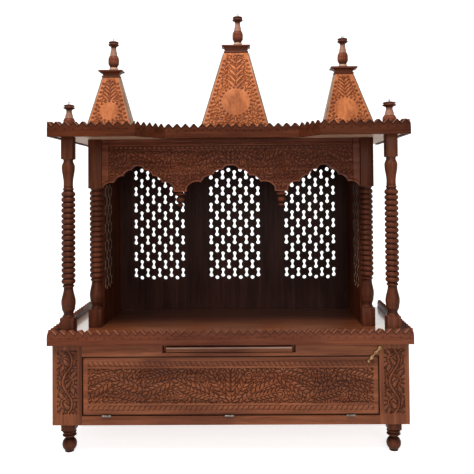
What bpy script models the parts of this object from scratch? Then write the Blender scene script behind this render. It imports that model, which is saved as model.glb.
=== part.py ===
"""Household altar cabinet: a carved wooden shrine on a base with a drop-front door and a slide-out tray.

The frame is in metres with +Z up. X runs to the right, Y to the back, and the origin is under the middle of
the cabinet, on the surface that it stands on.
"""

from math import atan2, cos, hypot, pi, radians, sin, sqrt, tan

import bmesh
import bpy
from mathutils import Matrix

# Fits
GAP = 0.0003
DOOR_GAP = 0.0020
TRAY_PLAY = 0.0010
TRAY_LIFT = 0.0005

# Deck, the wide board between the base and the shrine
DECK_WIDTH = 0.915
DECK_DEPTH = 0.410
DECK_THICK = 0.016

# Base box
FOOT_HEIGHT = 0.077
FOOT_BLOCK = 0.0344
FOOT_FROM_SIDE = 0.0445
FOOT_FROM_FRONT = 0.045
BOX_HEIGHT = 0.200
BOX_INSET = 0.011
BOX_BACK_INSET = 0.006
FRAME_THICK = 0.018
BOARD_THICK = 0.014
FLOOR_THICK = 0.010
STILE_WIDTH = 0.074
STILE_RIM = 0.008
BOTTOM_RAIL = 0.022
TOP_RAIL = 0.0292
CARVING_DEPTH = 0.0025

# Drop-front door
DOOR_THICK = 0.016
DOOR_RIM = 0.014
DOOR_STRIP = 0.027

# Hinges along the foot of the door
HINGE_LEAF = 0.0008
HINGE_LEAF_GAP = 0.0006
HINGE_LEAF_DEPTH = 0.012
HINGE_RADIUS = 0.0025
HINGE_STAND_OFF = 0.0030
HINGE_LENGTH = 0.022
HINGE_KNUCKLE = 0.008
HINGE_PLAY = 0.0006
HINGE_FROM_LEFT = 0.0605
HINGE_FROM_RIGHT = 0.0705
HINGE_OFF_CENTRE = -0.003

# Tray under the deck
TRAY_WIDTH = 0.316
TRAY_DEPTH = 0.300
TRAY_THICK = 0.0120
TRAY_OFF_CENTRE = -0.003
TRAY_NOTCH_PLAY = 0.009
TRAY_NOTCH_DEPTH = 0.0195
TRAY_FLOOR_DROP = 0.0015
RUNNER_WEB = 0.007
RUNNER_LEDGE = 0.010
RUNNER_LEDGE_THICK = 0.005

# Latch on the door's top corner
LATCH_PIVOT_IN = 0.0258
LATCH_PIVOT_DOWN = 0.0113
LATCH_TILT = radians(49)
LATCH_THICK = 0.0035
LATCH_STAND_OFF = 0.0022
LATCH_HEAD = 0.0055
LATCH_BEAD = 0.0044
LATCH_TAIL = 0.0048
LATCH_NECK = 0.0018
LATCH_REACH = 0.0435
LATCH_BEAD_AT = 0.0285
LATCH_TAIL_AT = 0.0120
LATCH_BOSS = 0.0025
KEEPER_RADIUS = 0.0030
KEEPER_HEIGHT = 0.0010

# Toothed fences round the deck and the roof
FENCE_THICK = 0.010
FENCE_HEIGHT = 0.0385
TOOTH_PITCH = 0.0221
TOOTH_HEIGHT = 0.0112
ROOF_FENCE_DROP = 0.0025

# Roof
SHRINE_HEIGHT = 0.510
ROOF_SET_IN = 0.001
ROOF_THICK = 0.014
ROOF_WING = {"left": 0.2225, "right": 0.2274}
ROOF_SPLAY = {"left": 0.0633, "right": 0.0470}
ROOF_RECESS_DEPTH = 0.0780
ROOF_ON_PEAK = ("wing_left",)

# Corner pillars
PILLAR_SIDES = 8
PILLAR_BLOCK = 0.0350
PILLAR_TOP_BLOCK = 0.0300
PILLAR_FROM_SIDE = 0.0442
PILLAR_FROM_FRONT = 0.0380
PILLAR_FOOT = 0.0510
PILLAR_HEAD = 0.0580
BEADS = 17
BEAD_RADIUS = 0.0175
BEAD_VALLEY = 0.0132
PILLAR_VASE = 0.0180
PILLAR_UPPER_VASE = 0.0162
PILLAR_NECK = 0.0120
BEADS_START = 0.1330
BEADS_END = 0.3690

# Posts at the front corners of the shrine
POST_SIZE = 0.0350
POST_FROM_SIDE = 0.0875
POST_FROM_FRONT = 0.1500
POST_HEAD = 0.1330
POST_BEAD_VALLEY = 0.0140
POST_BEADS_END = 0.3700

# Shrine walls
SIDE_THICK = 0.016
WALL_THICK = 0.012
WALL_FROM_FRONT = 0.3840

# Pierced lattice
LATTICE_PITCH = 0.01825
LATTICE_RISE = 0.0505
LATTICE_COLUMNS = 9
LATTICE_ROWS = 7
LATTICE_BOTTOM = 0.1133
LATTICE_SPACING = 0.2340
LATTICE_OFF_CENTRE = 0.0027
HOLE_HEIGHT = 0.0285
HOLE_WIDTH = 0.0115

# Arch board
ARCH_THICK = 0.017
ARCH_HEIGHT = 0.1324
ARCH_RISE = 0.0597
ARCH_STEM = 0.036
ARCH_STEM_DROP = 0.0116
ARCH_STEM_SPACING = 0.277
ARCH_LOBE_STEPS = 3
ARCH_LOBE_SAG = 0.18
ARCH_CUSPS = ((1.0, 0.0), (0.68, 0.23), (0.42, 0.54), (0.185, 0.81), (0.0, 1.0))

# Pendants under the arch board
PENDANT_SIDES = 8
PENDANT_DROP = 0.042
PENDANT_DISC = 0.0145
PENDANT_BALL = 0.0110

# Spires: the front and sides lean in, the back stands upright
SPIRE_WALL = 0.007
SPIRE_CAP_THICK = 0.005
SPIRE_FIELD_DEPTH = 0.002
SPIRE_RIM = 0.010
SPIRE_FIELD_FOOT = 0.012
SPIRE_FROM_LEFT = 0.1262
SPIRE_FROM_RIGHT = 0.1314
SPIRE_OFF_CENTRE = 0.0133
SPIRES = {
    "left": {"base": 0.1370, "top": 0.0517, "depth": 0.064, "height": 0.1610, "set_back": 0.1285},
    "centre": {"base": 0.1936, "top": 0.0729, "depth": 0.090, "height": 0.2260, "set_back": 0.1085},
    "right": {"base": 0.1513, "top": 0.0564, "depth": 0.072, "height": 0.1655, "set_back": 0.1285},
}
SPIRE_SWAY = {"left": -0.0030, "centre": 0.0029, "right": -0.0085}
SPIRE_COLLAR = {"left": 0.016, "centre": 0.018, "right": 0.016}
SPIRE_COLLAR_IN = {"left": 0.001, "centre": 0.003, "right": 0.001}
SPIRE_CAP = {"left": 0.0668, "centre": 0.0790, "right": 0.0735}
MEDALLION_SIDES = 8
MEDALLION = {"left": 0.024, "centre": 0.036, "right": 0.030}
MEDALLION_HEIGHT = {"left": 0.0660, "centre": 0.0880, "right": 0.0670}
MEDALLION_OFF_CENTRE = {"left": -0.0015, "centre": 0.0015, "right": -0.0030}

# Turned finials
FINIAL_SIDES = 8
FINIAL_HEIGHT = 0.083
FINIAL_RADIUS = 0.0148
FINIAL_OFF_CENTRE = {"left": 0.0061, "centre": 0.0050, "right": -0.0013}
CORNER_FINIAL_HEIGHT = 0.069
CORNER_FINIAL_RADIUS = {"left": 0.0148, "right": 0.0178}
CORNER_FINIAL_FROM_SIDE = 0.0465

# Levels and faces that follow from the sizes above
BOX_BOTTOM = FOOT_HEIGHT
BOX_TOP = BOX_BOTTOM + BOX_HEIGHT
DECK_TOP = BOX_TOP + DECK_THICK
ROOF_SIDE = DECK_WIDTH / 2 - ROOF_SET_IN
ROOF_BOTTOM = DECK_TOP + SHRINE_HEIGHT
ROOF_TOP = ROOF_BOTTOM + ROOF_THICK
FRONT = -DECK_DEPTH / 2
BACK = DECK_DEPTH / 2
BOX_FRONT = FRONT + BOX_INSET
BOX_BACK = BACK - BOX_BACK_INSET
BOX_SIDE = DECK_WIDTH / 2 - BOX_INSET
FRAME_BACK = BOX_FRONT + FRAME_THICK
STILE_INNER = BOX_SIDE - STILE_WIDTH
BOTTOM_RAIL_TOP = BOX_BOTTOM + BOTTOM_RAIL
TOP_RAIL_BOTTOM = BOX_TOP - TOP_RAIL
HINGE_SEAM = 2 * GAP + 2 * HINGE_LEAF + HINGE_LEAF_GAP
HINGE_Y = BOX_FRONT - HINGE_STAND_OFF
HINGE_Z = BOTTOM_RAIL_TOP + HINGE_SEAM / 2
DOOR_BOTTOM = BOTTOM_RAIL_TOP + HINGE_SEAM
DOOR_TOP = TOP_RAIL_BOTTOM - DOOR_GAP
DOOR_HALF = STILE_INNER - DOOR_GAP
TRAY_BOTTOM = BOX_TOP - TRAY_NOTCH_DEPTH + TRAY_LIFT
LEDGE_TOP = TRAY_BOTTOM - TRAY_LIFT
LATCH_X = DOOR_HALF - LATCH_PIVOT_IN
LATCH_Z = DOOR_TOP - LATCH_PIVOT_DOWN
LATCH_BACK = BOX_FRONT - LATCH_STAND_OFF
FENCE_BAND = FENCE_HEIGHT - TOOTH_HEIGHT
POST_X = DECK_WIDTH / 2 - POST_FROM_SIDE
POST_Y = FRONT + POST_FROM_FRONT
POST_BACK = POST_Y + POST_SIZE / 2
SHRINE_INNER = POST_X - POST_SIZE / 2
WALL_FRONT = FRONT + WALL_FROM_FRONT

# Turns that stand a flat outline up: its front faces the front of the cabinet, or its face the right side
FACING_FRONT = Matrix.Rotation(pi / 2, 4, "X")
FACING_SIDE = Matrix.Rotation(pi / 2, 4, "Z") @ FACING_FRONT


def clear_scene():
    for obj in list(bpy.data.objects):
        bpy.data.objects.remove(obj)


def wood(name, colour, roughness=0.45):
    """A plain Principled material for a kind of wood or metal."""
    material = bpy.data.materials.new(name)
    material.use_nodes = True
    shader = material.node_tree.nodes["Principled BSDF"]
    shader.inputs["Base Color"].default_value = (*colour, 1)
    shader.inputs["Roughness"].default_value = roughness
    return material


def metal(name, colour, roughness):
    material = wood(name, colour, roughness)
    material.node_tree.nodes["Principled BSDF"].inputs["Metallic"].default_value = 1
    return material


def add(name, bm, material, turn=None, at=(0, 0, 0), smooth=False):
    """A new object from bm, stood up by the matrix turn and placed at a point."""
    bmesh.ops.recalc_face_normals(bm, faces=bm.faces)
    mesh = bpy.data.meshes.new(name)
    bm.to_mesh(mesh)
    bm.free()
    if smooth:
        mesh.shade_smooth()
        mesh.set_sharp_from_angle(angle=radians(40))
    mesh.materials.append(material)
    obj = bpy.data.objects.new(name, mesh)
    bpy.context.scene.collection.objects.link(obj)
    obj.matrix_world = Matrix.Translation(at) @ (turn or Matrix.Identity(4))
    return obj


def box(name, x, y, z, material):
    """A square-edged board between two values on each axis."""
    bm = bmesh.new()
    bmesh.ops.create_cube(bm, size=1)
    size = [axis[1] - axis[0] for axis in (x, y, z)]
    middle = [(axis[0] + axis[1]) / 2 for axis in (x, y, z)]
    bmesh.ops.scale(bm, vec=size, verts=bm.verts)
    return add(name, bm, material, at=middle)


def plate(name, loops, thick, material, turn, at):
    """A flat piece from an outline and its holes, drawn in XY and thickened along +Z before it is turned."""
    bm = bmesh.new()
    for loop in loops:
        corners = [bm.verts.new((x, y, 0)) for x, y in loop]
        for start, end in zip(corners, corners[1:] + corners[:1]):
            bm.edges.new((start, end))
    bmesh.ops.triangle_fill(bm, use_beauty=True, use_dissolve=False, edges=bm.edges)
    grown = bmesh.ops.extrude_face_region(bm, geom=bm.faces[:])["geom"]
    raised = [item for item in grown if isinstance(item, bmesh.types.BMVert)]
    bmesh.ops.translate(bm, vec=(0, 0, thick), verts=raised)
    return add(name, bm, material, turn, at)


def ring_point(step, sides, half, square):
    """A point of a ring with flat or round sides; both have a point at each corner of the square."""
    angle = 2 * pi * step / sides
    reach = half / max(abs(cos(angle)), abs(sin(angle))) if square else half
    return reach * cos(angle), reach * sin(angle)


def turned(name, rings, sides, material, at):
    """A lathe-turned piece. Each ring is (height, half width, whether it is square)."""
    bm = bmesh.new()
    layers = []
    for height, half, square in rings:
        points = (ring_point(step, sides, half, square) for step in range(sides))
        layers.append([bm.verts.new((x, y, height)) for x, y in points])
    for lower, upper in zip(layers, layers[1:]):
        for step in range(sides):
            after = (step + 1) % sides
            bm.faces.new((lower[step], lower[after], upper[after], upper[step]))
    bm.faces.new(list(reversed(layers[0])))
    bm.faces.new(layers[-1])
    return add(name, bm, material, at=at, smooth=True)


def teeth(length, on_peak):
    """The outline of a fence board of this length: a plain band with pointed teeth along its top.

    The board's ends stand in the valleys between teeth, or on peaks.
    """
    count = max(1, round(length / TOOTH_PITCH))
    half_pitch = length / count / 2
    top = []
    for step in range(2 * count + 1):
        peak = (step % 2 == 0) == on_peak
        top.append((step * half_pitch, FENCE_HEIGHT if peak else FENCE_BAND))
    return [(length, 0), (0, 0)] + top


def fence(name, start, end, level, material, turns=(None, None), on_peak=False):
    """A toothed board on a level, with its outer face on the plan line from start to end.

    Each turn is the angle by which the plan line turns left at that end, where the board is mitred against
    the next one. An end with no turn is cut square.
    """
    run = (end[0] - start[0], end[1] - start[1])
    length = hypot(*run)
    turn = Matrix.Rotation(atan2(run[1], run[0]), 4, "Z") @ FACING_FRONT
    at = Matrix.Translation((start[0], start[1], level)) @ turn @ Matrix.Translation((0, 0, -FENCE_THICK))
    board = plate(name, [teeth(length, on_peak)], FENCE_THICK, material, at, (0, 0, 0))
    for place, angle, inward in ((0, turns[0], 1), (length, turns[1], -1)):
        if angle is None:
            continue
        for corner in board.data.vertices:
            if abs(corner.co.x - place) < GAP / 2:
                inner = corner.co.z < FENCE_THICK / 2
                corner.co.x += inward * (GAP + inner * FENCE_THICK * tan(angle / 2))
    return board


def fence_run(stem, names, corners, level, material):
    """Fence boards along a plan line, mitred where it turns."""
    headings = [atan2(b[1] - a[1], b[0] - a[0]) for a, b in zip(corners, corners[1:])]
    bends = [after - before for before, after in zip(headings, headings[1:])]
    turns = [None] + bends + [None]
    for index, name in enumerate(names):
        ends = turns[index : index + 2]
        fence(stem + name, corners[index], corners[index + 1], level, material, ends, name in ROOF_ON_PEAK)


def cut(obj, cutter):
    """Cuts a cutter's shape out of obj and leaves the cutter as a hidden guide."""
    cutter.hide_render = True
    cutter.display_type = "WIRE"
    boolean = obj.modifiers.new("cut " + cutter.name, "BOOLEAN")
    boolean.operation = "DIFFERENCE"
    boolean.object = cutter


def join(obj, other):
    """Fuses another shape into obj and leaves that shape as a hidden guide."""
    other.hide_render = True
    other.display_type = "WIRE"
    boolean = obj.modifiers.new("join " + other.name, "BOOLEAN")
    boolean.operation = "UNION"
    boolean.object = other


def circle(radius, sides, x=0.0, y=0.0):
    angles = [2 * pi * (step + 0.5) / sides for step in range(sides)]
    return [(x + radius * cos(angle), y + radius * sin(angle)) for angle in angles]


def rectangle(x, y):
    return [(x[0], y[0]), (x[1], y[0]), (x[1], y[1]), (x[0], y[1])]


def recess(obj, x, z, face_y):
    """Sinks a flat field into the front face of a board, as the ground of its carving."""
    depth = CARVING_DEPTH
    loops = [rectangle(x, z)]
    at = (0, face_y + depth, 0)
    cutter = plate(obj.name + "_field", loops, 3 * depth, obj.data.materials[0], FACING_FRONT, at)
    cut(obj, cutter)


def make_deck(dark, red):
    inner = DECK_WIDTH / 2 - FENCE_THICK - GAP
    box("deck_board", (-inner, inner), (FRONT + FENCE_THICK + GAP, BACK), (BOX_TOP + GAP, DECK_TOP), red)
    side = DECK_WIDTH / 2
    corners = [(-side, BACK), (-side, FRONT), (side, FRONT), (side, BACK)]
    fence_run("deck_fence_", ("left", "front", "right"), corners, BOX_TOP + GAP, dark)


def make_frame(red):
    """The front frame of the base: two stiles, a bottom rail and a top rail with the tray's notch."""
    y = (BOX_FRONT, FRAME_BACK)
    z = (BOX_BOTTOM, BOX_TOP)
    for side, sign in (("left", -1), ("right", 1)):
        x = sorted((sign * STILE_INNER, sign * BOX_SIDE))
        stile = box("base_stile_" + side, x, y, z, red)
        field = (x[0] + STILE_RIM, x[1] - STILE_RIM)
        recess(stile, field, (z[0] + STILE_RIM, z[1] - STILE_RIM), BOX_FRONT)
    half = STILE_INNER - GAP
    box("base_bottom_rail", (-half, half), y, (BOX_BOTTOM, BOTTOM_RAIL_TOP), red)
    notch = [side * (TRAY_WIDTH / 2 + TRAY_NOTCH_PLAY) + TRAY_OFF_CENTRE for side in (-1, 1)]
    floor = BOX_TOP - TRAY_NOTCH_DEPTH - TRAY_FLOOR_DROP
    outline = [
        (-half, TOP_RAIL_BOTTOM),
        (half, TOP_RAIL_BOTTOM),
        (half, BOX_TOP),
        (notch[1], BOX_TOP),
        (notch[1], floor),
        (notch[0], floor),
        (notch[0], BOX_TOP),
        (-half, BOX_TOP),
    ]
    plate("base_top_rail", [outline], FRAME_THICK, red, FACING_FRONT, (0, FRAME_BACK, 0))


def make_box(red):
    """The sides, back and floor of the base."""
    z = (BOX_BOTTOM, BOX_TOP)
    y = (FRAME_BACK + GAP, BOX_BACK)
    inner = BOX_SIDE - BOARD_THICK
    for side, sign in (("left", -1), ("right", 1)):
        x = sorted((sign * inner, sign * BOX_SIDE))
        box("base_side_" + side, x, y, z, red)
    back_front = BOX_BACK - BOARD_THICK
    span = (-inner + GAP, inner - GAP)
    box("base_back", span, (back_front, BOX_BACK), z, red)
    floor_z = (BOX_BOTTOM, BOX_BOTTOM + FLOOR_THICK)
    box("base_floor", span, (FRAME_BACK + GAP, back_front - GAP), floor_z, red)


def make_feet(dark):
    """Turned ball feet under the four corners of the base."""
    top = FOOT_HEIGHT - GAP
    rings = (
        (0.0, 0.0105, False),
        (0.0060, 0.0125, False),
        (0.0120, 0.0180, False),
        (0.0240, 0.0175, False),
        (0.0330, 0.0090, False),
        (0.0375, 0.0175, False),
        (0.0435, 0.0175, False),
        (0.0475, 0.0130, False),
        (0.0540, 0.0150, True),
        (top, FOOT_BLOCK / 2, True),
    )
    x = DECK_WIDTH / 2 - FOOT_FROM_SIDE
    y = DECK_DEPTH / 2 - FOOT_FROM_FRONT
    for row, along in (("front", -y), ("back", y)):
        for side, across in (("left", -x), ("right", x)):
            turned(f"foot_{row}_{side}", rings, PILLAR_SIDES, dark, (across, along, 0))


def make_tray(red, pale):
    """The pull-out tray and the two runners that hang it under the deck."""
    half = TRAY_WIDTH / 2
    x = (TRAY_OFF_CENTRE - half, TRAY_OFF_CENTRE + half)
    y = (BOX_FRONT, BOX_FRONT + TRAY_DEPTH)
    box("tray", x, y, (TRAY_BOTTOM, TRAY_BOTTOM + TRAY_THICK), pale)
    length = BOX_BACK - BOARD_THICK - GAP - FRAME_BACK - GAP
    low = LEDGE_TOP - RUNNER_LEDGE_THICK
    for side, sign in (("left", -1), ("right", 1)):
        web = half + TRAY_PLAY
        outline = [
            (web - RUNNER_LEDGE, low),
            (web + RUNNER_WEB, low),
            (web + RUNNER_WEB, BOX_TOP),
            (web, BOX_TOP),
            (web, LEDGE_TOP),
            (web - RUNNER_LEDGE, LEDGE_TOP),
        ]
        outline = [(TRAY_OFF_CENTRE + sign * x, z) for x, z in outline]
        at = (0, FRAME_BACK + GAP + length, 0)
        plate("tray_runner_" + side, [outline], length, red, FACING_FRONT, at)


def make_door(red):
    """The drop-front door, with its carved field sunk between a rim and two strips."""
    x = (-DOOR_HALF, DOOR_HALF)
    y = (BOX_FRONT, BOX_FRONT + DOOR_THICK)
    z = (DOOR_BOTTOM, DOOR_TOP)
    door = box("door_panel", x, y, z, red)
    field_z = (DOOR_BOTTOM + DOOR_STRIP, DOOR_TOP - DOOR_STRIP)
    recess(door, (x[0] + DOOR_RIM, x[1] - DOOR_RIM), field_z, BOX_FRONT)


def hinge_half(name, length, leaf_z, x, material):
    """A barrel with its leaf, drawn across the hinge and drawn out along the door's foot."""
    reach = HINGE_STAND_OFF + HINGE_LEAF_DEPTH
    barrel = circle(HINGE_RADIUS, 8)
    profile = plate(name, [barrel], length, material, FACING_SIDE, (x - length / 2, HINGE_Y, HINGE_Z))
    leaf_y = (HINGE_Y, HINGE_Y + reach)
    leaf_x = (x - length / 2, x + length / 2)
    leaf = box(name + "_leaf", leaf_x, leaf_y, leaf_z, material)
    join(profile, leaf)
    return profile


def make_hinges(steel):
    """Three small butt hinges; the middle knuckle belongs to the rail and the outer two to the door."""
    fixed_z = (BOTTOM_RAIL_TOP + GAP, BOTTOM_RAIL_TOP + GAP + HINGE_LEAF)
    moving_z = (DOOR_BOTTOM - GAP - HINGE_LEAF, DOOR_BOTTOM - GAP)
    places = {
        "left": HINGE_FROM_LEFT - DOOR_HALF,
        "middle": HINGE_OFF_CENTRE,
        "right": DOOR_HALF - HINGE_FROM_RIGHT,
    }
    for place, x in places.items():
        hinge_half("hinge_fixed_" + place, HINGE_KNUCKLE, fixed_z, x, steel)
        moving = hinge_half("hinge_moving_" + place, HINGE_LENGTH, moving_z, x, steel)
        half = HINGE_KNUCKLE / 2 + HINGE_PLAY
        reach = HINGE_RADIUS + HINGE_PLAY
        y = (HINGE_Y - 2 * reach, HINGE_Y + reach)
        z = (HINGE_Z - 2 * reach, HINGE_Z + 2 * reach)
        cut(moving, box(f"hinge_{place}_slot", (x - half, x + half), y, z, steel))


def blob(distance, centre, radius):
    """Half the width of a round bead at a distance along the latch."""
    return sqrt(max(0.0, radius ** 2 - (distance - centre) ** 2))


def make_latch(brass):
    """A brass turn latch on the door; its head laps a keeper pin on the frame."""
    beads = ((0.0, LATCH_NECK * 1.6), (LATCH_TAIL_AT, LATCH_TAIL), (LATCH_BEAD_AT, LATCH_BEAD))
    beads += ((LATCH_REACH, LATCH_HEAD),)
    stations = sorted({centre + share * radius for centre, radius in beads for share in (-0.9, 0, 0.9)})
    widths = [max(LATCH_NECK * (s > 0), *(blob(s, *bead) for bead in beads)) for s in stations]
    widths = [max(width, LATCH_NECK / 2) for width in widths]
    tip = LATCH_REACH + LATCH_HEAD
    outline = [(s, w) for s, w in zip(stations, widths)] + [(tip, LATCH_NECK / 2)]
    outline += [(s, -w) for s, w in reversed(outline)]
    lean = Matrix.Translation((LATCH_X, LATCH_BACK, LATCH_Z)) @ FACING_FRONT @ Matrix.Rotation(LATCH_TILT, 4, "Z")
    latch = plate("latch", [outline], LATCH_THICK, brass, lean, (0, 0, 0))
    boss_depth = LATCH_STAND_OFF - GAP
    boss_at = (LATCH_X, LATCH_BACK + boss_depth, LATCH_Z)
    boss = plate("latch_boss", [circle(LATCH_BOSS, 8)], boss_depth + LATCH_THICK / 2, brass, FACING_FRONT, boss_at)
    join(latch, boss)
    keeper_x = LATCH_X + LATCH_REACH * cos(LATCH_TILT)
    keeper_z = LATCH_Z + LATCH_REACH * sin(LATCH_TILT)
    keeper_x = max(keeper_x, STILE_INNER + KEEPER_RADIUS)
    at = (keeper_x, BOX_FRONT - GAP, keeper_z)
    plate("keeper_pin", [circle(KEEPER_RADIUS, 8)], KEEPER_HEIGHT, brass, FACING_FRONT, at)


def beads(start, end, count, peak, valley):
    """A run of turned beads as rings, each bead one peak between two valleys."""
    pitch = (end - start) / count
    rings = [(start, valley, False)]
    for bead in range(count):
        rings.append((start + (bead + 0.5) * pitch, peak, False))
        rings.append((start + (bead + 1) * pitch, valley, False))
    return rings


def make_pillars(dark):
    """Corner pillars of the roof: square ends, a vase above the foot, a run of beads and an upper vase."""
    block = PILLAR_BLOCK / 2
    head = PILLAR_TOP_BLOCK / 2
    height = SHRINE_HEIGHT - GAP
    rings = [
        (GAP, block, True),
        (PILLAR_FOOT - 0.003, block, True),
        (PILLAR_FOOT, block * 0.86, False),
        (PILLAR_FOOT + 0.006, PILLAR_NECK, False),
        (PILLAR_FOOT + 0.020, PILLAR_VASE * 0.90, False),
        (PILLAR_FOOT + 0.036, PILLAR_VASE, False),
        (PILLAR_FOOT + 0.072, PILLAR_NECK, False),
    ]
    rings += beads(BEADS_START, BEADS_END, BEADS, BEAD_RADIUS, BEAD_VALLEY)
    shoulder = height - PILLAR_HEAD
    rings += [
        (BEADS_END + 0.010, PILLAR_NECK, False),
        (BEADS_END + 0.030, PILLAR_NECK * 1.08, False),
        (shoulder - 0.018, PILLAR_UPPER_VASE, False),
        (shoulder - 0.006, PILLAR_UPPER_VASE * 0.95, False),
        (shoulder - 0.002, PILLAR_NECK, False),
        (shoulder, head, True),
        (height, head, True),
    ]
    x = DECK_WIDTH / 2 - PILLAR_FROM_SIDE
    y = FRONT + PILLAR_FROM_FRONT
    for side, across in (("left", -x), ("right", x)):
        turned("corner_pillar_" + side, rings, PILLAR_SIDES, dark, (across, y, DECK_TOP))


def make_posts(dark):
    """The shrine's front posts: as the pillars up to the beads, then a long square head."""
    block = POST_SIZE / 2
    height = SHRINE_HEIGHT - GAP
    rings = [
        (GAP, block, True),
        (PILLAR_FOOT - 0.003, block, True),
        (PILLAR_FOOT, block * 0.86, False),
        (PILLAR_FOOT + 0.006, PILLAR_NECK, False),
        (PILLAR_FOOT + 0.020, block * 0.90, False),
        (PILLAR_FOOT + 0.036, block, False),
        (PILLAR_FOOT + 0.070, PILLAR_NECK, False),
    ]
    rings += beads(BEADS_START, POST_BEADS_END, BEADS, block, POST_BEAD_VALLEY)
    rings += [
        (height - POST_HEAD - 0.004, POST_BEAD_VALLEY, False),
        (height - POST_HEAD, block, True),
        (height, block, True),
    ]
    for side, across in (("left", -POST_X), ("right", POST_X)):
        turned("shrine_post_" + side, rings, PILLAR_SIDES, dark, (across, POST_Y, DECK_TOP))


def lattice_holes(centre_x):
    """Lozenge holes in staggered columns; every second column is one hole shorter."""
    holes = []
    half_run = (LATTICE_COLUMNS - 1) / 2
    for column in range(LATTICE_COLUMNS):
        x = centre_x + (column - half_run) * LATTICE_PITCH
        short = column % 2
        for row in range(LATTICE_ROWS - short):
            z = LATTICE_BOTTOM + (row + short / 2) * LATTICE_RISE
            holes.append(lozenge(x, z, HOLE_WIDTH / 2, HOLE_HEIGHT / 2))
    return holes


def lozenge(x, z, half_width, half_height):
    return [(x - half_width, z), (x, z - half_height), (x + half_width, z), (x, z + half_height)]


def make_walls(dark):
    """The back wall with its three pierced panels, and the two side walls."""
    height = SHRINE_HEIGHT - GAP
    half = SHRINE_INNER + SIDE_THICK
    loops = [rectangle((-half, half), (GAP, height))]
    for panel in (-1, 0, 1):
        loops += lattice_holes(LATTICE_OFF_CENTRE + panel * LATTICE_SPACING)
    at = (0, WALL_FRONT + WALL_THICK, DECK_TOP)
    plate("back_wall", loops, WALL_THICK, dark, FACING_FRONT, at)
    y = (POST_BACK + GAP, WALL_FRONT - GAP)
    z = (DECK_TOP + GAP, DECK_TOP + height)
    for side, sign in (("left", -1), ("right", 1)):
        x = sorted((sign * SHRINE_INNER, sign * half))
        box("shrine_side_" + side, x, y, z, dark)


def arch(centre, half_width, level):
    """The scalloped underside of one bay from left to right, with a cusp between each two lobes."""
    right = [(half_width * share, level + ARCH_RISE * rise) for share, rise in ARCH_CUSPS]
    points = [right[0]]
    for start, end in zip(right, right[1:]):
        run = (end[0] - start[0], end[1] - start[1])
        for step in range(1, ARCH_LOBE_STEPS + 1):
            share = step / ARCH_LOBE_STEPS
            bulge = 4 * share * (1 - share) * ARCH_LOBE_SAG
            x = start[0] + run[0] * share + run[1] * bulge
            z = start[1] + run[1] * share - run[0] * bulge
            points.append((x, z))
    left = [(centre - x, z) for x, z in points]
    return left + [(centre + x, z) for x, z in reversed(points[:-1])]


def make_arches(dark):
    """The arch board between the posts, and a turned pendant under each of its two stems."""
    half = SHRINE_INNER - GAP
    level = SHRINE_HEIGHT - ARCH_HEIGHT
    stem = ARCH_STEM_SPACING / 2
    edge = ARCH_STEM / 2
    stem_end = level - ARCH_STEM_DROP
    side_half = (half - stem - edge) / 2 - GAP
    side_centre = stem + edge + (half - stem - edge) / 2
    under = arch(-side_centre, side_half, level)
    under += [(-stem - edge, stem_end), (-stem + edge, stem_end)]
    under += arch(0, stem - edge - GAP, level)
    under += [(stem - edge, stem_end), (stem + edge, stem_end)]
    under += arch(side_centre, side_half, level)
    top = SHRINE_HEIGHT - GAP
    outline = [(-half, top), (-half, level)] + under + [(half, level), (half, top)]
    y = POST_Y + ARCH_THICK / 2
    plate("arch_board", [outline], ARCH_THICK, dark, FACING_FRONT, (0, y, DECK_TOP))
    drop = PENDANT_DROP
    rings = (
        (-drop, 0.0050, False),
        (-drop * 0.88, 0.0090, False),
        (-drop * 0.76, 0.0055, False),
        (-drop * 0.62, PENDANT_BALL, False),
        (-drop * 0.42, PENDANT_BALL, False),
        (-drop * 0.30, 0.0070, False),
        (-drop * 0.20, PENDANT_DISC, False),
        (-drop * 0.08, PENDANT_DISC, False),
        (-GAP, 0.0080, False),
    )
    for side, across in (("left", -stem), ("right", stem)):
        turned("pendant_" + side, rings, PENDANT_SIDES, dark, (across, POST_Y, DECK_TOP + stem_end))


def roof_outline(inset):
    """The roof's plan from the back left corner round the front, drawn in by an inset except at the back."""
    side = ROOF_SIDE - inset
    front = FRONT + inset
    middle = front + ROOF_RECESS_DEPTH
    wing = {}
    bay = {}
    for place, width in ROOF_SPLAY.items():
        splay = atan2(ROOF_RECESS_DEPTH, width)
        wing[place] = ROOF_SIDE - ROOF_WING[place] + inset * tan(splay / 2)
        bay[place] = wing[place] - width
    return [
        (-side, BACK),
        (-side, front),
        (-wing["left"], front),
        (-bay["left"], middle),
        (bay["right"], middle),
        (wing["right"], front),
        (side, front),
        (side, BACK),
    ]


def make_roof(dark):
    """The roof board with its recessed front, and a toothed fence along its front and sides."""
    inner = roof_outline(FENCE_THICK + GAP)
    plate("roof_board", [inner], ROOF_THICK - GAP, dark, Matrix.Identity(4), (0, 0, ROOF_BOTTOM + GAP))
    names = ("left", "wing_left", "splay_left", "middle", "splay_right", "wing_right", "right")
    fence_run("roof_fence_", names, roof_outline(0), ROOF_BOTTOM - ROOF_FENCE_DROP, dark)


def level(bm, half, front, back, height, sway=0.0):
    """Four corners round a spire at a height, from the front left one."""
    corners = ((sway - half, front), (sway + half, front), (sway + half, back), (sway - half, back))
    return [bm.verts.new((x, y, height)) for x, y in corners]


def bridge(bm, first, second):
    for step in range(4):
        after = (step + 1) % 4
        bm.faces.new((first[step], first[after], second[after], second[step]))


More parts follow.
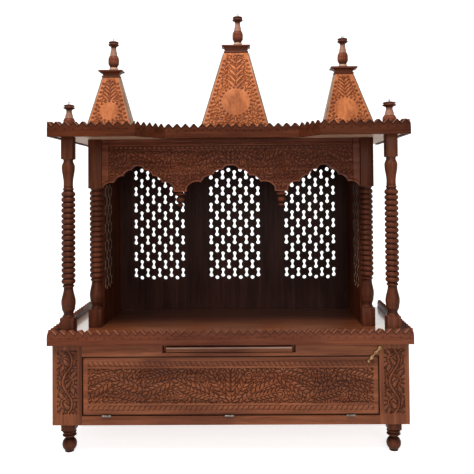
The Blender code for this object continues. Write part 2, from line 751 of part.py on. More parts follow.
def spire_shell(name, size, sway, lean, material, at):
    """The boards of a spire as one hollow shell, open above and below, from the foot of its front."""
    bm = bmesh.new()
    base = size["base"] / 2
    top = size["top"] / 2
    wall = SPIRE_WALL
    back = size["depth"]
    lower = level(bm, base, 0, back, 0)
    upper = level(bm, top, lean, back, size["height"], sway)
    inner_upper = level(bm, top - wall, lean + wall, back - wall, size["height"], sway)
    inner_lower = level(bm, base - wall, wall, back - wall, 0)
    bridge(bm, lower, upper)
    bridge(bm, upper, inner_upper)
    bridge(bm, inner_upper, inner_lower)
    bridge(bm, inner_lower, lower)
    return add(name, bm, material, at=at)


def spire_field(shell, place, size, lean, material, at):
    """Sinks a carved field round a plain medallion into the front."""
    slant = hypot(lean, size["height"])
    base = size["base"] / 2 - SPIRE_RIM
    top = size["top"] / 2 - SPIRE_RIM * 0.6
    crown = slant - SPIRE_RIM
    sway = SPIRE_SWAY[place]
    field = [(-base, SPIRE_FIELD_FOOT), (base, SPIRE_FIELD_FOOT), (sway + top, crown), (sway - top, crown)]
    x = MEDALLION_OFF_CENTRE[place]
    medallion = circle(MEDALLION[place], MEDALLION_SIDES, x, MEDALLION_HEIGHT[place])
    stand = Matrix.Translation(at) @ Matrix.Rotation(pi / 2 - atan2(lean, size["height"]), 4, "X")
    stand = stand @ Matrix.Translation((0, 0, -SPIRE_FIELD_DEPTH))
    cutter = plate(shell.name + "_front", [field, medallion], 3 * SPIRE_FIELD_DEPTH, material, stand, (0, 0, 0))
    cut(shell, cutter)


def spire_cap(place, size, lean, material, at):
    """The coved collar and flat plate that close a spire."""
    collar = SPIRE_COLLAR[place]
    over = (SPIRE_CAP[place] - size["top"]) / 2
    drawn_in = SPIRE_COLLAR_IN[place]
    rings = (
        (GAP, -drawn_in - 0.001),
        (collar * 0.45, -drawn_in),
        (collar * 0.75, -drawn_in - 0.002),
        (collar, over - 0.003),
        (collar, over),
        (collar + SPIRE_CAP_THICK, over),
    )
    bm = bmesh.new()
    layers = [
        level(bm, size["top"] / 2 + grow, lean - grow, size["depth"] + grow, height) for height, grow in rings
    ]
    for lower, upper in zip(layers, layers[1:]):
        bridge(bm, lower, upper)
    bm.faces.new(list(reversed(layers[0])))
    bm.faces.new(layers[-1])
    return add("spire_cap_" + place, bm, material, at=at)


def finial(name, height, radius, material, at):
    """A turned finial: a base ring, a full belly, a slim neck and a two-disc cap."""
    shape = (
        (0.00, 0.80),
        (0.10, 0.72),
        (0.28, 1.00),
        (0.48, 0.82),
        (0.70, 0.50),
        (0.80, 0.55),
        (0.86, 0.98),
        (0.97, 0.95),
    )
    rings = [(share * height + GAP * (share == 0), width * radius, False) for share, width in shape]
    rings.append((height, 0.45 * radius, False))
    return turned(name, rings, FINIAL_SIDES, material, at)


def make_spires(orange, dark):
    """Three spires on the roof, each with its cap and finial, and a finial over each corner pillar."""
    places = {
        "left": SPIRE_FROM_LEFT - ROOF_SIDE,
        "centre": SPIRE_OFF_CENTRE,
        "right": ROOF_SIDE - SPIRE_FROM_RIGHT,
    }
    for place, size in SPIRES.items():
        lean = (size["base"] - size["top"]) / 2
        at = (places[place], FRONT + size["set_back"], ROOF_TOP + GAP)
        sway = SPIRE_SWAY[place]
        shell = spire_shell("spire_" + place, size, sway, lean, orange, at)
        spire_field(shell, place, size, lean, orange, at)
        cap_at = (at[0] + sway, at[1], at[2] + size["height"])
        spire_cap(place, size, lean, dark, cap_at)
        y = at[1] + (lean + size["depth"]) / 2
        stand = cap_at[2] + SPIRE_COLLAR[place] + SPIRE_CAP_THICK
        x = cap_at[0] + FINIAL_OFF_CENTRE[place]
        finial("finial_" + place, FINIAL_HEIGHT, FINIAL_RADIUS, dark, (x, y, stand))
    x = DECK_WIDTH / 2 - CORNER_FINIAL_FROM_SIDE
    y = FRONT + PILLAR_FROM_FRONT
    for side, across in (("left", -x), ("right", x)):
        radius = CORNER_FINIAL_RADIUS[side]
        finial("finial_corner_" + side, CORNER_FINIAL_HEIGHT, radius, dark, (across, y, ROOF_TOP))


def main():
    clear_scene()
    red = wood("red brown wood", (0.24, 0.060, 0.026))
    dark = wood("dark brown wood", (0.14, 0.036, 0.018))
    orange = wood("orange brown wood", (0.42, 0.150, 0.060))
    pale = wood("pale tray wood", (0.40, 0.200, 0.110))
    brass = metal("brass", (0.80, 0.62, 0.30), 0.30)
    steel = metal("steel", (0.70, 0.70, 0.70), 0.35)
    make_deck(dark, red)
    make_frame(red)
    make_box(red)
    make_feet(dark)
    make_tray(red, pale)
    make_door(red)
    make_hinges(steel)
    make_latch(brass)
    make_pillars(dark)
    make_posts(dark)
    make_walls(dark)
    make_arches(dark)
    make_roof(dark)
    make_spires(orange, dark)


main()
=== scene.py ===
"""Looks of the household altar cabinet: its turned, toothed and carved pieces, and their finish.

All sizes are in metres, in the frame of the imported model. The front of the cabinet faces -Y.
"""

from math import atan2, cos, hypot, pi, radians, sin, sqrt, tan

import bmesh
import bpy
import numpy as np
from mathutils import Matrix, Vector


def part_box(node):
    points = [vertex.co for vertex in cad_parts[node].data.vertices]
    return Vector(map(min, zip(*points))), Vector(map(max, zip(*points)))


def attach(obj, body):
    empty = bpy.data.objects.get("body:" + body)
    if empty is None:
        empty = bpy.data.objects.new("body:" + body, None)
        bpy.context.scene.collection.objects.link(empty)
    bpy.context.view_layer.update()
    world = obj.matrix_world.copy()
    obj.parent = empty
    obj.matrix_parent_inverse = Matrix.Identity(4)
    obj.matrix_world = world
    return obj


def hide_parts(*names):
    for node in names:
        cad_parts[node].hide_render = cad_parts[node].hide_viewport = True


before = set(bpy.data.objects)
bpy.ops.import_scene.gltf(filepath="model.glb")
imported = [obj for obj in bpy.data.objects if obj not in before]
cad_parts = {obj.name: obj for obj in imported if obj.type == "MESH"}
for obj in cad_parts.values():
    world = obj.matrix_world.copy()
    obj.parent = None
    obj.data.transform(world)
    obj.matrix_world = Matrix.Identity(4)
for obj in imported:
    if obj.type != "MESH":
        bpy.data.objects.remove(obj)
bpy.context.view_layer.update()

MM = 0.001

# Camera, as the photograph was taken
IMAGE_SIZE = 474
FOCAL_PIXELS = 626.3
PRINCIPAL_POINT = (245.6, 174.1)
CAMERA_AT = Vector((0.0585, -1.770, 0.669))
CAMERA_YAW = -0.01035
CAMERA_PITCH = 0.0215
CAMERA_ROLL = -0.00775
SENSOR = 36.0

FACING_FRONT = Matrix.Rotation(pi / 2, 4, "X")
FACING_RIGHT = Matrix.Rotation(pi / 2, 4, "Z") @ FACING_FRONT


def size(node):
    """The lowest corner, highest corner and middle of a node."""
    low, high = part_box(node)
    return low, high, (low + high) / 2


LIGHTS = {
    "key": ((-0.4, -1.0, 2.6), (0, -0.15, 0.5), 1.3, 62),
    "fill": ((0.6, -3.4, 1.3), (0, 0, 0.5), 2.0, 42),
}
WORLD_STRENGTH = 0.34
FLOOR_FRONT, FLOOR_BACK = -3.0, 2.2
FLOOR_HALF_WIDTH = 6.0
FLOOR_CURVE = 1.2
BACKDROP_TOP = 5.0


def make_camera():
    camera = bpy.data.objects.new("camera", bpy.data.cameras.new("camera"))
    bpy.context.scene.collection.objects.link(camera)
    level = cos(CAMERA_PITCH)
    forward = Vector((sin(CAMERA_YAW) * level, cos(CAMERA_YAW) * level, sin(CAMERA_PITCH)))
    level_right = forward.cross(Vector((0, 0, 1))).normalized()
    level_down = forward.cross(level_right)
    right = level_right * cos(CAMERA_ROLL) - level_down * sin(CAMERA_ROLL)
    up = -(level_right * sin(CAMERA_ROLL) + level_down * cos(CAMERA_ROLL))
    turn = Matrix((right, up, -forward)).transposed().to_4x4()
    camera.matrix_world = Matrix.Translation(CAMERA_AT) @ turn
    camera.data.sensor_width = SENSOR
    camera.data.lens = FOCAL_PIXELS / IMAGE_SIZE * SENSOR
    camera.data.shift_x = 0.5 - PRINCIPAL_POINT[0] / IMAGE_SIZE
    camera.data.shift_y = PRINCIPAL_POINT[1] / IMAGE_SIZE - 0.5
    bpy.context.scene.camera = camera


def soft_light(name, at, aim, width, power):
    light = bpy.data.lights.new(name, "AREA")
    light.shape = "SQUARE"
    light.size = width
    light.energy = power
    obj = bpy.data.objects.new(name, light)
    bpy.context.scene.collection.objects.link(obj)
    obj.location = at
    obj.rotation_euler = (Vector(aim) - Vector(at)).to_track_quat("-Z", "Y").to_euler()


def make_stage():
    """A pale floor that curves up into a backdrop, a bright world and two soft lights."""
    world = bpy.data.worlds.new("studio")
    world.use_nodes = True
    world.node_tree.nodes["Background"].inputs["Color"].default_value = (1, 1, 1, 1)
    world.node_tree.nodes["Background"].inputs["Strength"].default_value = WORLD_STRENGTH
    bpy.context.scene.world = world
    profile = [(FLOOR_FRONT, 0.0), (FLOOR_BACK, 0.0)]
    for a in np.linspace(0.1, pi / 2, 12):
        profile.append((FLOOR_BACK + FLOOR_CURVE * sin(a), FLOOR_CURVE - FLOOR_CURVE * cos(a)))
    profile.append((FLOOR_BACK + FLOOR_CURVE, BACKDROP_TOP))
    shape = Shape()
    shape.grid(np.array([[(x, y, z) for x in (-FLOOR_HALF_WIDTH, FLOOR_HALF_WIDTH)] for y, z in profile]))
    stage = shape.piece("studio_floor", stage_material())
    stage.visible_diffuse = False
    for name, (at, aim, width, power) in LIGHTS.items():
        soft_light(name, at, aim, width, power)
    bpy.context.scene.view_settings.view_transform = "Standard"


def node(tree, kind, inputs=None, **settings):
    """A shader node; an input is a plain value or another node's output."""
    made = tree.nodes.new("ShaderNode" + kind)
    for key, value in settings.items():
        setattr(made, key, value)
    for key, value in (inputs or {}).items():
        if isinstance(value, bpy.types.NodeSocket):
            tree.links.new(value, made.inputs[key])
        else:
            made.inputs[key].default_value = value
    return made


def blank_material(name):
    material = bpy.data.materials.new(name)
    material.use_nodes = True
    return material, material.node_tree, material.node_tree.nodes["Principled BSDF"]


def ramp(tree, factor, stops):
    made = node(tree, "ValToRGB", {"Fac": factor})
    elements = made.color_ramp.elements
    while len(elements) < len(stops):
        elements.new(0.5)
    for element, (place, colour) in zip(elements, stops):
        element.position = place
        element.color = (*colour, 1)
    return made.outputs["Color"]


def mix(tree, factor, first, second, blend="MIX"):
    made = node(tree, "Mix", data_type="RGBA", blend_type=blend)
    for index, value in ((0, factor), (6, first), (7, second)):
        if isinstance(value, bpy.types.NodeSocket):
            tree.links.new(value, made.inputs[index])
        elif index == 0:
            made.inputs[index].default_value = value
        else:
            made.inputs[index].default_value = (*value, 1)
    return made.outputs[2]


def arithmetic(tree, operation, *values):
    return node(tree, "Math", dict(enumerate(values)), operation=operation).outputs[0]


def scaled(tree, value, low, high):
    """A 0 to 1 value spread between two numbers."""
    return node(tree, "MapRange", {"Value": value, "To Min": low, "To Max": high}).outputs["Result"]


def progress(tree, value, start, end):
    """How far a value has come from start to end, from 0 to 1."""
    return node(tree, "MapRange", {"Value": value, "From Min": start, "From Max": end}).outputs["Result"]


def part_of(tree, output, axis):
    """One part of a piece's own coordinates or of its normal."""
    vector = node(tree, "TexCoord").outputs[output]
    return node(tree, "SeparateXYZ", {"Vector": vector}).outputs[axis]


def stretched(tree, across, along, axis):
    """The piece's own coordinates, scaled so that noise runs in fibres along an axis."""
    place = node(tree, "TexCoord").outputs["Object"]
    scale = [across] * 3
    scale["XYZ".index(axis)] = along
    return node(tree, "Mapping", {"Vector": place, "Scale": scale}).outputs["Vector"]


def noise(tree, vector, scale, detail, roughness, distortion=0.0):
    inputs = {"Vector": vector, "Scale": scale, "Detail": detail, "Roughness": roughness}
    inputs["Distortion"] = distortion
    return node(tree, "TexNoise", inputs).outputs["Fac"]


def painted_underside_light(tree, colour):
    """Painted light on the undersides of the roof's two wings."""
    below = progress(tree, part_of(tree, "Normal", "Z"), *FACING_DOWN)
    aside = arithmetic(tree, "ABSOLUTE", part_of(tree, "Object", "X"))
    lit = arithmetic(tree, "MULTIPLY", below, progress(tree, aside, *UNDERSIDE_WINGS))
    return mix(tree, lit, colour, PAINTED_UNDERSIDE_LIGHT)


def deck_painted_light(tree, colour):
    """The deck's wood with painted shade toward the back, under the roof, and painted glare at its two
    ends.
    """
    inside = progress(tree, part_of(tree, "Object", "Y"), *DECK_SHADE_FROM)
    colour = mix(tree, inside, colour, mix(tree, 1.0, colour, DECK_SHADE, "MULTIPLY"))
    aside = arithmetic(tree, "ABSOLUTE", part_of(tree, "Object", "X"))
    return mix(tree, progress(tree, aside, *DECK_GLARE_FROM), colour, DECK_PAINTED_GLARE)


WOODS = {}


def wood(tone, axis, lit_wings=False):
    """Polished wood with its fibres along an axis; hollows that the mesh marks get painted shade, and marks
    below zero get painted highlight.
    """
    name = "_".join(["wood", tone, axis.lower()] + ["pale"] * lit_wings)
    if name in WOODS:
        return WOODS[name]
    deep, middle, light, hollow, rough, gloss = TONES[tone]
    coat, coat_rough = (gloss, 0.14) if tone == "deck" else (gloss * 0.4, 0.25)
    material, tree, shader = blank_material(name)
    figure = noise(tree, stretched(tree, 60, 3.0, axis), 1.0, 5.0, 0.6, 0.8)
    pores = noise(tree, stretched(tree, 420, 16, axis), 1.0, 2.0, 0.5)
    patches = noise(tree, stretched(tree, 9, 3.5, axis), 1.0, 3.0, 0.5, 0.4)
    colour = ramp(tree, figure, ((0.28, deep), (0.50, middle), (0.74, light)))
    colour = mix(tree, 1.0, colour, ramp(tree, patches, PATCH_TINTS), "MULTIPLY")
    colour = mix(tree, 0.55, colour, ramp(tree, pores, PORE_TINTS), "MULTIPLY")
    # Painted shade in the hollows that the mesh marks, darker the deeper they lie.
    depth = node(tree, "Attribute", attribute_name="hollow").outputs["Fac"]
    colour = mix(tree, scaled(tree, depth, 0.0, 0.94), colour, hollow)
    # Painted highlight where the mesh marks a value below zero.
    painted_edge = arithmetic(tree, "MULTIPLY", depth, -1.0)
    colour = mix(tree, scaled(tree, painted_edge, 0.0, 1.0), colour, PAINTED_HIGHLIGHT)
    # Painted light on the undersides of the roof's wings.
    if lit_wings:
        colour = painted_underside_light(tree, colour)
    # Painted shade toward the deck's back and painted glare at its two ends.
    if tone == "deck":
        colour = deck_painted_light(tree, colour)
    tree.links.new(colour, shader.inputs["Base Color"])
    tree.links.new(scaled(tree, figure, rough + 0.10, rough - 0.08), shader.inputs["Roughness"])
    grain = arithmetic(tree, "ADD", scaled(tree, figure, 0.0, 0.6), scaled(tree, pores, 0.0, 0.4))
    bump = node(tree, "Bump", {"Strength": 0.35, "Distance": 0.4 * MM, "Height": grain})
    tree.links.new(bump.outputs["Normal"], shader.inputs["Normal"])
    shader.inputs["Specular IOR Level"].default_value = gloss
    shader.inputs["Coat Weight"].default_value = coat
    shader.inputs["Coat Roughness"].default_value = coat_rough
    WOODS[name] = material
    return material


def metal(name, dark, light, rough):
    """Worn metal with faint scratches and darker spots."""
    material, tree, shader = blank_material(name)
    place = node(tree, "TexCoord").outputs["Object"]
    spots = noise(tree, place, 160, 4.0, 0.6)
    fine = noise(tree, place, 900, 2.0, 0.5)
    tree.links.new(ramp(tree, spots, ((0.32, dark), (0.58, light))), shader.inputs["Base Color"])
    tree.links.new(scaled(tree, spots, rough + 0.12, rough - 0.06), shader.inputs["Roughness"])
    bump = node(tree, "Bump", {"Strength": 0.25, "Distance": 0.1 * MM, "Height": fine})
    tree.links.new(bump.outputs["Normal"], shader.inputs["Normal"])
    shader.inputs["Metallic"].default_value = 1.0
    return material


def stage_material():
    material, tree, shader = blank_material("studio_white")
    shader.inputs["Base Color"].default_value = (0.93, 0.93, 0.93, 1)
    shader.inputs["Roughness"].default_value = 0.9
    shader.inputs["Specular IOR Level"].default_value = 0.0
    shader.inputs["Emission Color"].default_value = (1, 1, 1, 1)
    shader.inputs["Emission Strength"].default_value = 0.75
    return material


# Deep, middle and light fibre colour, the painted shade in the hollows, the roughness and the gloss
TONES = {
    "red": ((.125, .034, .013), (.235, .071, .029), (.350, .119, .052), (.030, .008, .003), .42, .11),
    "brown": ((.056, .014, .006), (.116, .031, .013), (.180, .053, .024), (.022, .006, .003), .44, .08),
    "arch": ((.106, .027, .012), (.196, .054, .025), (.285, .090, .042), (.040, .010, .004), .44, .08),
    "fence": ((.086, .021, .009), (.160, .043, .019), (.238, .073, .034), (.034, .008, .003), .44, .08),
    "umber": ((.036, .009, .004), (.075, .019, .008), (.120, .034, .014), (.014, .004, .002), .50, .03),
    "deck": ((.230, .062, .020), (.400, .118, .040), (.540, .185, .070), (.060, .014, .006), .30, .90),
    # The near-black tone of the shrine's walls is painted shade.
    "dark": ((.016, .006, .004), (.030, .010, .007), (.050, .018, .012), (.008, .003, .002), .50, .05),
    "orange": ((.260, .072, .021), (.410, .124, .040), (.535, .190, .072), (.095, .020, .010), .45, .08),
    # The pale tone paints the highlight on the tray's upper edge.
    "pale": ((.400, .220, .150), (.540, .330, .240), (.640, .420, .310), (.060, .025, .015), .38, .20),
    "tan": ((.165, .098, .062), (.240, .148, .096), (.325, .205, .138), (.060, .025, .015), .50, .08),
}
PATCH_TINTS = ((0.30, (0.62, 0.56, 0.56)), (0.52, (1.0, 1.0, 1.0)), (0.75, (1.22, 1.10, 1.0)))
PORE_TINTS = ((0.36, (0.55, 0.50, 0.48)), (0.50, (1.0, 1.0, 1.0)))
# Painted light under the roof's wings: its colour, where it fades in across X, and the downward normals
# that take it
PAINTED_UNDERSIDE_LIGHT = (0.78, 0.50, 0.33)
UNDERSIDE_WINGS = (0.150, 0.215)
FACING_DOWN = (-0.6, -0.8)
# Painted shade toward the back of the deck and where it runs across Y; painted glare at the deck's two ends
# and where it starts across X
DECK_SHADE = (0.16, 0.14, 0.17)
DECK_SHADE_FROM = (-0.190, 0.060)
DECK_PAINTED_GLARE = (0.36, 0.20, 0.13)
DECK_GLARE_FROM = (0.383, 0.389)
# Colour of the painted highlights on marked edges
PAINTED_HIGHLIGHT = (0.46, 0.28, 0.20)
BRASS = ((0.09, 0.050, 0.022), (0.28, 0.175, 0.080), 0.42)
STEEL = ((0.06, 0.05, 0.045), (0.17, 0.15, 0.13), 0.50)

# How near a swelling has to be to put painted shade in a hollow of a turned piece, and how deep the darkest
# one is
SWELLING_REACH = 7 * MM
DARKEST_DIP = 4.5 * MM
WIRE_SIDES = 8

# Angles in degrees beyond which an edge is drawn sharp
TURNED_SHARP, CARVED_SHARP, SAWN_SHARP = 38, 46, 30


class Shape:
    """Points and faces, with how deep in a hollow each point lies, which sets its painted shade (painted
    highlight where below zero), gathered for one mesh.
    """

    def __init__(self):
        self.points = []
        self.faces = []
        self.hollow = []

    def add(self, points, faces, hollow=None):
        start = len(self.points)
        self.points.extend(tuple(point) for point in points)
        self.faces.extend(tuple(start + index for index in face) for face in faces)
        self.hollow.extend([0.0] * len(points) if hollow is None else hollow)

    def grid(self, points, hollow=None, closed=False):
        """A surface through rows of points; closed joins each row's last point to its first."""
        rows, columns = points.shape[:2]
        faces = []
        for row in range(rows - 1):
            for column in range(columns if closed else columns - 1):
                after = (column + 1) % columns
                low, high = row * columns, (row + 1) * columns
                faces.append((low + column, low + after, high + after, high + column))
        flat = None if hollow is None else hollow.reshape(-1)
        self.add(points.reshape(-1, 3), faces, flat)

    def lathe(self, profile, sides=40, at=(0, 0, 0), stand=None):
        """A closed turned form from (radius, height) pairs, with painted shade marked in the hollows
        between swellings.
        """
        radii = np.array([radius for radius, _ in profile])
        heights = np.array([height for _, height in profile])
        near = np.abs(heights[:, None] - heights[None, :]) < SWELLING_REACH
        widest = np.where(near, radii[None, :], 0).max(axis=1)
        dips = np.clip((widest - radii) / DARKEST_DIP, 0, 0.85)
        angles = np.arange(sides) * 2 * pi / sides
        points = np.zeros((len(radii), sides, 3))
        points[..., 0] = at[0] + radii[:, None] * np.cos(angles)
        points[..., 1] = at[1] + radii[:, None] * np.sin(angles)
        points[..., 2] = at[2] + heights[:, None]
        if stand:
            points = apply(stand, points)
        base = len(self.points)
        self.grid(points, np.repeat(dips[:, None], sides, axis=1), closed=True)
        last = base + (len(radii) - 1) * sides
        self.faces.append(tuple(reversed(range(base, base + sides))))
        self.faces.append(tuple(range(last, last + sides)))

    def block(self, low, high, bevel=1.2 * MM):
        """A board with softened edges."""
        bm = bmesh.new()
        bmesh.ops.create_cube(bm, size=1)
        low, high = Vector(low), Vector(high)
        bmesh.ops.scale(bm, vec=high - low, verts=bm.verts)
        bmesh.ops.translate(bm, vec=(low + high) / 2, verts=bm.verts)
        bmesh.ops.bevel(bm, geom=bm.edges[:], offset=bevel, segments=2, profile=0.5, affect="EDGES")
        self.take(bm)

    def take(self, bm, stand=None):
        """Adds everything in bm, moved by the matrix stand, and frees bm."""
        if stand:
            bm.transform(stand)
        bmesh.ops.recalc_face_normals(bm, faces=bm.faces)
        bm.verts.index_update()
        self.add([vert.co[:] for vert in bm.verts], [[v.index for v in face.verts] for face in bm.faces])
        bm.free()

    def plate(self, loops, thick, stand):
        """A flat piece from an outline and its holes in XY, thickened along +Z and moved by stand."""
        bm = bmesh.new()
        for loop in loops:
            corners = [bm.verts.new((x, y, 0)) for x, y in loop]
            for start, end in zip(corners, corners[1:] + corners[:1]):
                bm.edges.new((start, end))
        bmesh.ops.triangle_fill(bm, use_beauty=True, use_dissolve=False, edges=bm.edges)
        grown = bmesh.ops.extrude_face_region(bm, geom=bm.faces[:])["geom"]
        raised = [item for item in grown if isinstance(item, bmesh.types.BMVert)]
        bmesh.ops.translate(bm, vec=(0, 0, thick), verts=raised)
        self.take(bm, stand)

    def board(self, along, low, high, rows, relief, thick, stand, mitre=(0.0, 0.0)):
        """A board standing in XY with a carved front at +Z, between a lower and an upper edge.

        relief gives how far each point stands out and how much painted shade it gets. mitre moves the
        back's two ends.
        """
        x = np.repeat(along[None, :], rows + 1, axis=0)
        shares = np.linspace(0, 1, rows + 1)[:, None]
        y = low[None, :] + (high - low)[None, :] * shares
        out, hollow = relief(x, y)
        front = np.stack([x, y, thick + out], axis=-1)
        start = len(self.points)
        self.grid(apply(stand, front), hollow)
        index = np.arange(x.size).reshape(x.shape)
        ring = np.concatenate([index[0, :-1], index[:-1, -1], index[-1, :0:-1], index[:0:-1, 0]])
        edge = front.reshape(-1, 3)[ring]
        back = edge.copy()
        back[:, 2] = 0
        share = (edge[:, 0] - along[0]) / (along[-1] - along[0])
        back[:, 0] += mitre[0] * (1 - share) + mitre[1] * share
        # Behind a front edge with painted highlight, the back edge gets painted shade.
        painted_edge = [0.5 if self.hollow[start + int(step)] < 0 else 0.0 for step in ring]
        self.seam(start + ring, apply(stand, back), painted_edge)

    def seam(self, ring, back, hollow):
        """Joins a ring of points already in the shape to a new flat back."""
        first = len(self.points)
        count = len(ring)
        self.add(back, [], hollow)
        for step in range(count):
            after = (step + 1) % count
            self.faces.append((int(ring[step]), int(ring[after]), first + after, first + step))
        self.faces.append(tuple(range(first, first + count)))

    def tube(self, route, radius):
        """A round wire along a route of points."""
        route = [Vector(point) for point in route]
        circle = [2 * pi * step / WIRE_SIDES for step in range(WIRE_SIDES)]
        rings = []
        for index, point in enumerate(route):
            before = route[max(index - 1, 0)]
            after = route[min(index + 1, len(route) - 1)]
            turn = (after - before).to_track_quat("Z", "Y").to_matrix()
            spokes = [turn @ Vector((radius * cos(a), radius * sin(a), 0)) for a in circle]
            rings.append([tuple(point + spoke) for spoke in spokes])
        base = len(self.points)
        self.grid(np.array(rings), closed=True)
        self.faces.append(tuple(reversed(range(base, base + WIRE_SIDES))))
        self.faces.append(tuple(range(len(self.points) - WIRE_SIDES, len(self.points))))

    def piece(self, name, material, sharp=TURNED_SHARP):
        """The gathered shape as an object."""
        mesh = bpy.data.meshes.new(name)
        mesh.from_pydata(self.points, [], self.faces)
        hollow = mesh.attributes.new("hollow", "FLOAT", "POINT")
        hollow.data.foreach_set("value", np.array(self.hollow, dtype=float))
        bm = bmesh.new()
        bm.from_mesh(mesh)
        bmesh.ops.recalc_face_normals(bm, faces=bm.faces)
        bm.to_mesh(mesh)
        bm.free()
        mesh.shade_smooth()
        mesh.set_sharp_from_angle(angle=radians(sharp))
        mesh.materials.append(material)
        obj = bpy.data.objects.new(name, mesh)
        bpy.context.scene.collection.objects.link(obj)
        return obj


def apply(matrix, points):
    """Moves an array of points by a matrix."""
    turn = np.array(matrix)
    return points @ turn[:3, :3].T + turn[:3, 3]


def added(obj, body):
    """Lets a piece move with a body."""
    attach(obj, body)
    return obj


def stand_for(shape, name, material, body, node_name, sharp=TURNED_SHARP):
    """Makes a piece that takes the place of a CAD node and moves with a body."""
    obj = added(shape.piece(name, material, sharp), body)
    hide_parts(node_name)
    return obj


def arc(start, end, bulge, steps):
    """(radius, height) pairs on a bow between two such pairs, swollen outward in the middle by bulge."""
    pairs = []
    for share in np.linspace(0, 1, steps + 1)[1:]:
        radius = start[0] + (end[0] - start[0]) * share + bulge * sin(pi * share)
        pairs.append((radius, start[1] + (end[1] - start[1]) * share))
    return pairs


def curve(profile, steps):
    """A smooth profile through (radius, height) pairs, eased so that it neither overshoots nor kinks."""
    smooth = [profile[0]]
    for start, end in zip(profile, profile[1:]):
        for step in range(1, steps + 1):
            share = step / steps
            ease = share * share * (3 - 2 * share)
            radius = start[0] + (end[0] - start[0]) * ease
            smooth.append((radius, start[1] + (end[1] - start[1]) * share))
    return smooth


def ball(radius, middle, start, end, steps, tall=None):
    """(radius, height) pairs round a ball from one angle to another, measured from its foot."""
    tall = radius if tall is None else tall
    return [(radius * sin(a), middle - tall * cos(a)) for a in np.linspace(start, end, steps)]


def bead_run(start, end, peak, valley):
    """A row of full beads with sharp valleys."""
    pitch = (end - start) / BEADS
    profile = [(valley, start)]
    for index in range(BEADS):
        low = start + index * pitch
        for step in range(1, BEAD_STEPS + 1):
            share = step / BEAD_STEPS
            swell = sin(pi * share) ** BEAD_FULLNESS
            profile.append((valley + (peak - valley) * swell, low + pitch * share))
    return profile


def ring(middle, height, radius, inner):
    """A half-round ring between two narrow necks."""
    low, high = middle - height / 2, middle + height / 2
    return [(inner, low)] + arc((inner, low), (inner, high), radius - inner, 8)


def upright(at, half, low, high):
    """The lowest and highest corner of a square upright block round an axis."""
    return (at.x - half, at.y - half, low), (at.x + half, at.y + half, high)


BEADS = 17
BEAD_STEPS = 8
BEAD_FULLNESS = 0.62
BEADS_START = 0.133
PILLAR_BEADS_END, POST_BEADS_END = 0.369, 0.370
PILLAR_BEAD, PILLAR_VALLEY, POST_VALLEY = 0.0176, 0.0128, 0.0132
PILLAR_NECK, POST_NECK = 0.0120, 0.0125
PILLAR_UPPER_VASE = 0.0164
SQUARE_FOOT = 0.051
FOOT_JOINT = 0.002
PILLAR_FOOT_HALF, PILLAR_HEAD_HALF = 0.0175, 0.0150
PILLAR_HEAD, POST_HEAD = 0.058, 0.133
FOOT_BLOCK_HALF, FOOT_BLOCK_LOW = 0.0172, 0.0555
FOOT_BALL, FOOT_BALL_AT = 0.0184, 0.0192


def lower_vase(widest, neck):
    """The turned part between a pillar's square foot and its beads."""
    foot = SQUARE_FOOT
    profile = curve([(widest * 0.86, foot - 0.001), (neck, foot + 0.006)], 5)
    profile += curve([(neck, foot + 0.0065), (widest * 0.92, foot + 0.020), (widest, foot + 0.034)], 7)
    profile += curve([(widest, foot + 0.036), (neck * 0.98, foot + 0.0715)], 12)
    return profile + ring(foot + 0.0765, 0.007, neck + 0.0030, neck)


def turned(node_name, material, profile, at, blocks=(), shades=()):
    """A turned piece with square ends; shades paint bands between two shares of its height darker, and
    paler with painted highlight where below zero.
    """
    shape = Shape()
    for low, high in blocks:
        shape.block(low, high)
    shape.lathe(profile, at=at)
    for index, point in enumerate(shape.points):
        share = (point[2] - at[2]) / profile[-1][1] if shades else 0
        for start, end, shade in shades:
            if start <= share < end:
                shape.hollow[index] = shade
    stand_for(shape, "turned_" + node_name, material, "cabinet", node_name)


def make_pillars(brown):
    for side in ("left", "right"):
        node_name = "corner_pillar_" + side
        low, high, middle = size(node_name)
        neck, vase = PILLAR_NECK, PILLAR_UPPER_VASE
        shoulder = high.z - low.z - PILLAR_HEAD
        beads_end = PILLAR_BEADS_END
        profile = lower_vase((high.x - low.x) / 2, neck)
        profile += bead_run(BEADS_START, beads_end, PILLAR_BEAD, PILLAR_VALLEY)
        profile += ring(beads_end + 0.006, 0.006, neck + 0.002, neck)
        profile += curve(
            [(neck, beads_end + 0.010), (neck * 0.98, beads_end + 0.022), (vase, shoulder - 0.021)], 9
        )
        profile += curve([(vase, shoulder - 0.018), (neck, shoulder - 0.004)], 6)
        profile += curve([(neck, shoulder - 0.0035), (PILLAR_HEAD_HALF * 0.9, shoulder + 0.001)], 4)
        foot = upright(middle, PILLAR_FOOT_HALF, low.z, low.z + SQUARE_FOOT - FOOT_JOINT)
        head = upright(middle, PILLAR_HEAD_HALF, high.z - PILLAR_HEAD, high.z)
        turned(node_name, brown, profile, (middle.x, middle.y, low.z), (foot, head))


def make_posts(brown):
    for side in ("left", "right"):
        node_name = "shrine_post_" + side
        low, high, middle = size(node_name)
        half = (high.x - low.x) / 2
        profile = lower_vase(half, POST_NECK)
        profile += bead_run(BEADS_START, POST_BEADS_END, half, POST_VALLEY)
        shoulder = high.z - low.z - POST_HEAD
        profile += curve([(POST_VALLEY, POST_BEADS_END + 0.0005), (half * 0.92, shoulder + 0.001)], 5)
        foot = (low, (high.x, high.y, low.z + SQUARE_FOOT - FOOT_JOINT))
        head = ((low.x, low.y, high.z - POST_HEAD), high)
        turned(node_name, brown, profile, (middle.x, middle.y, low.z), (foot, head))


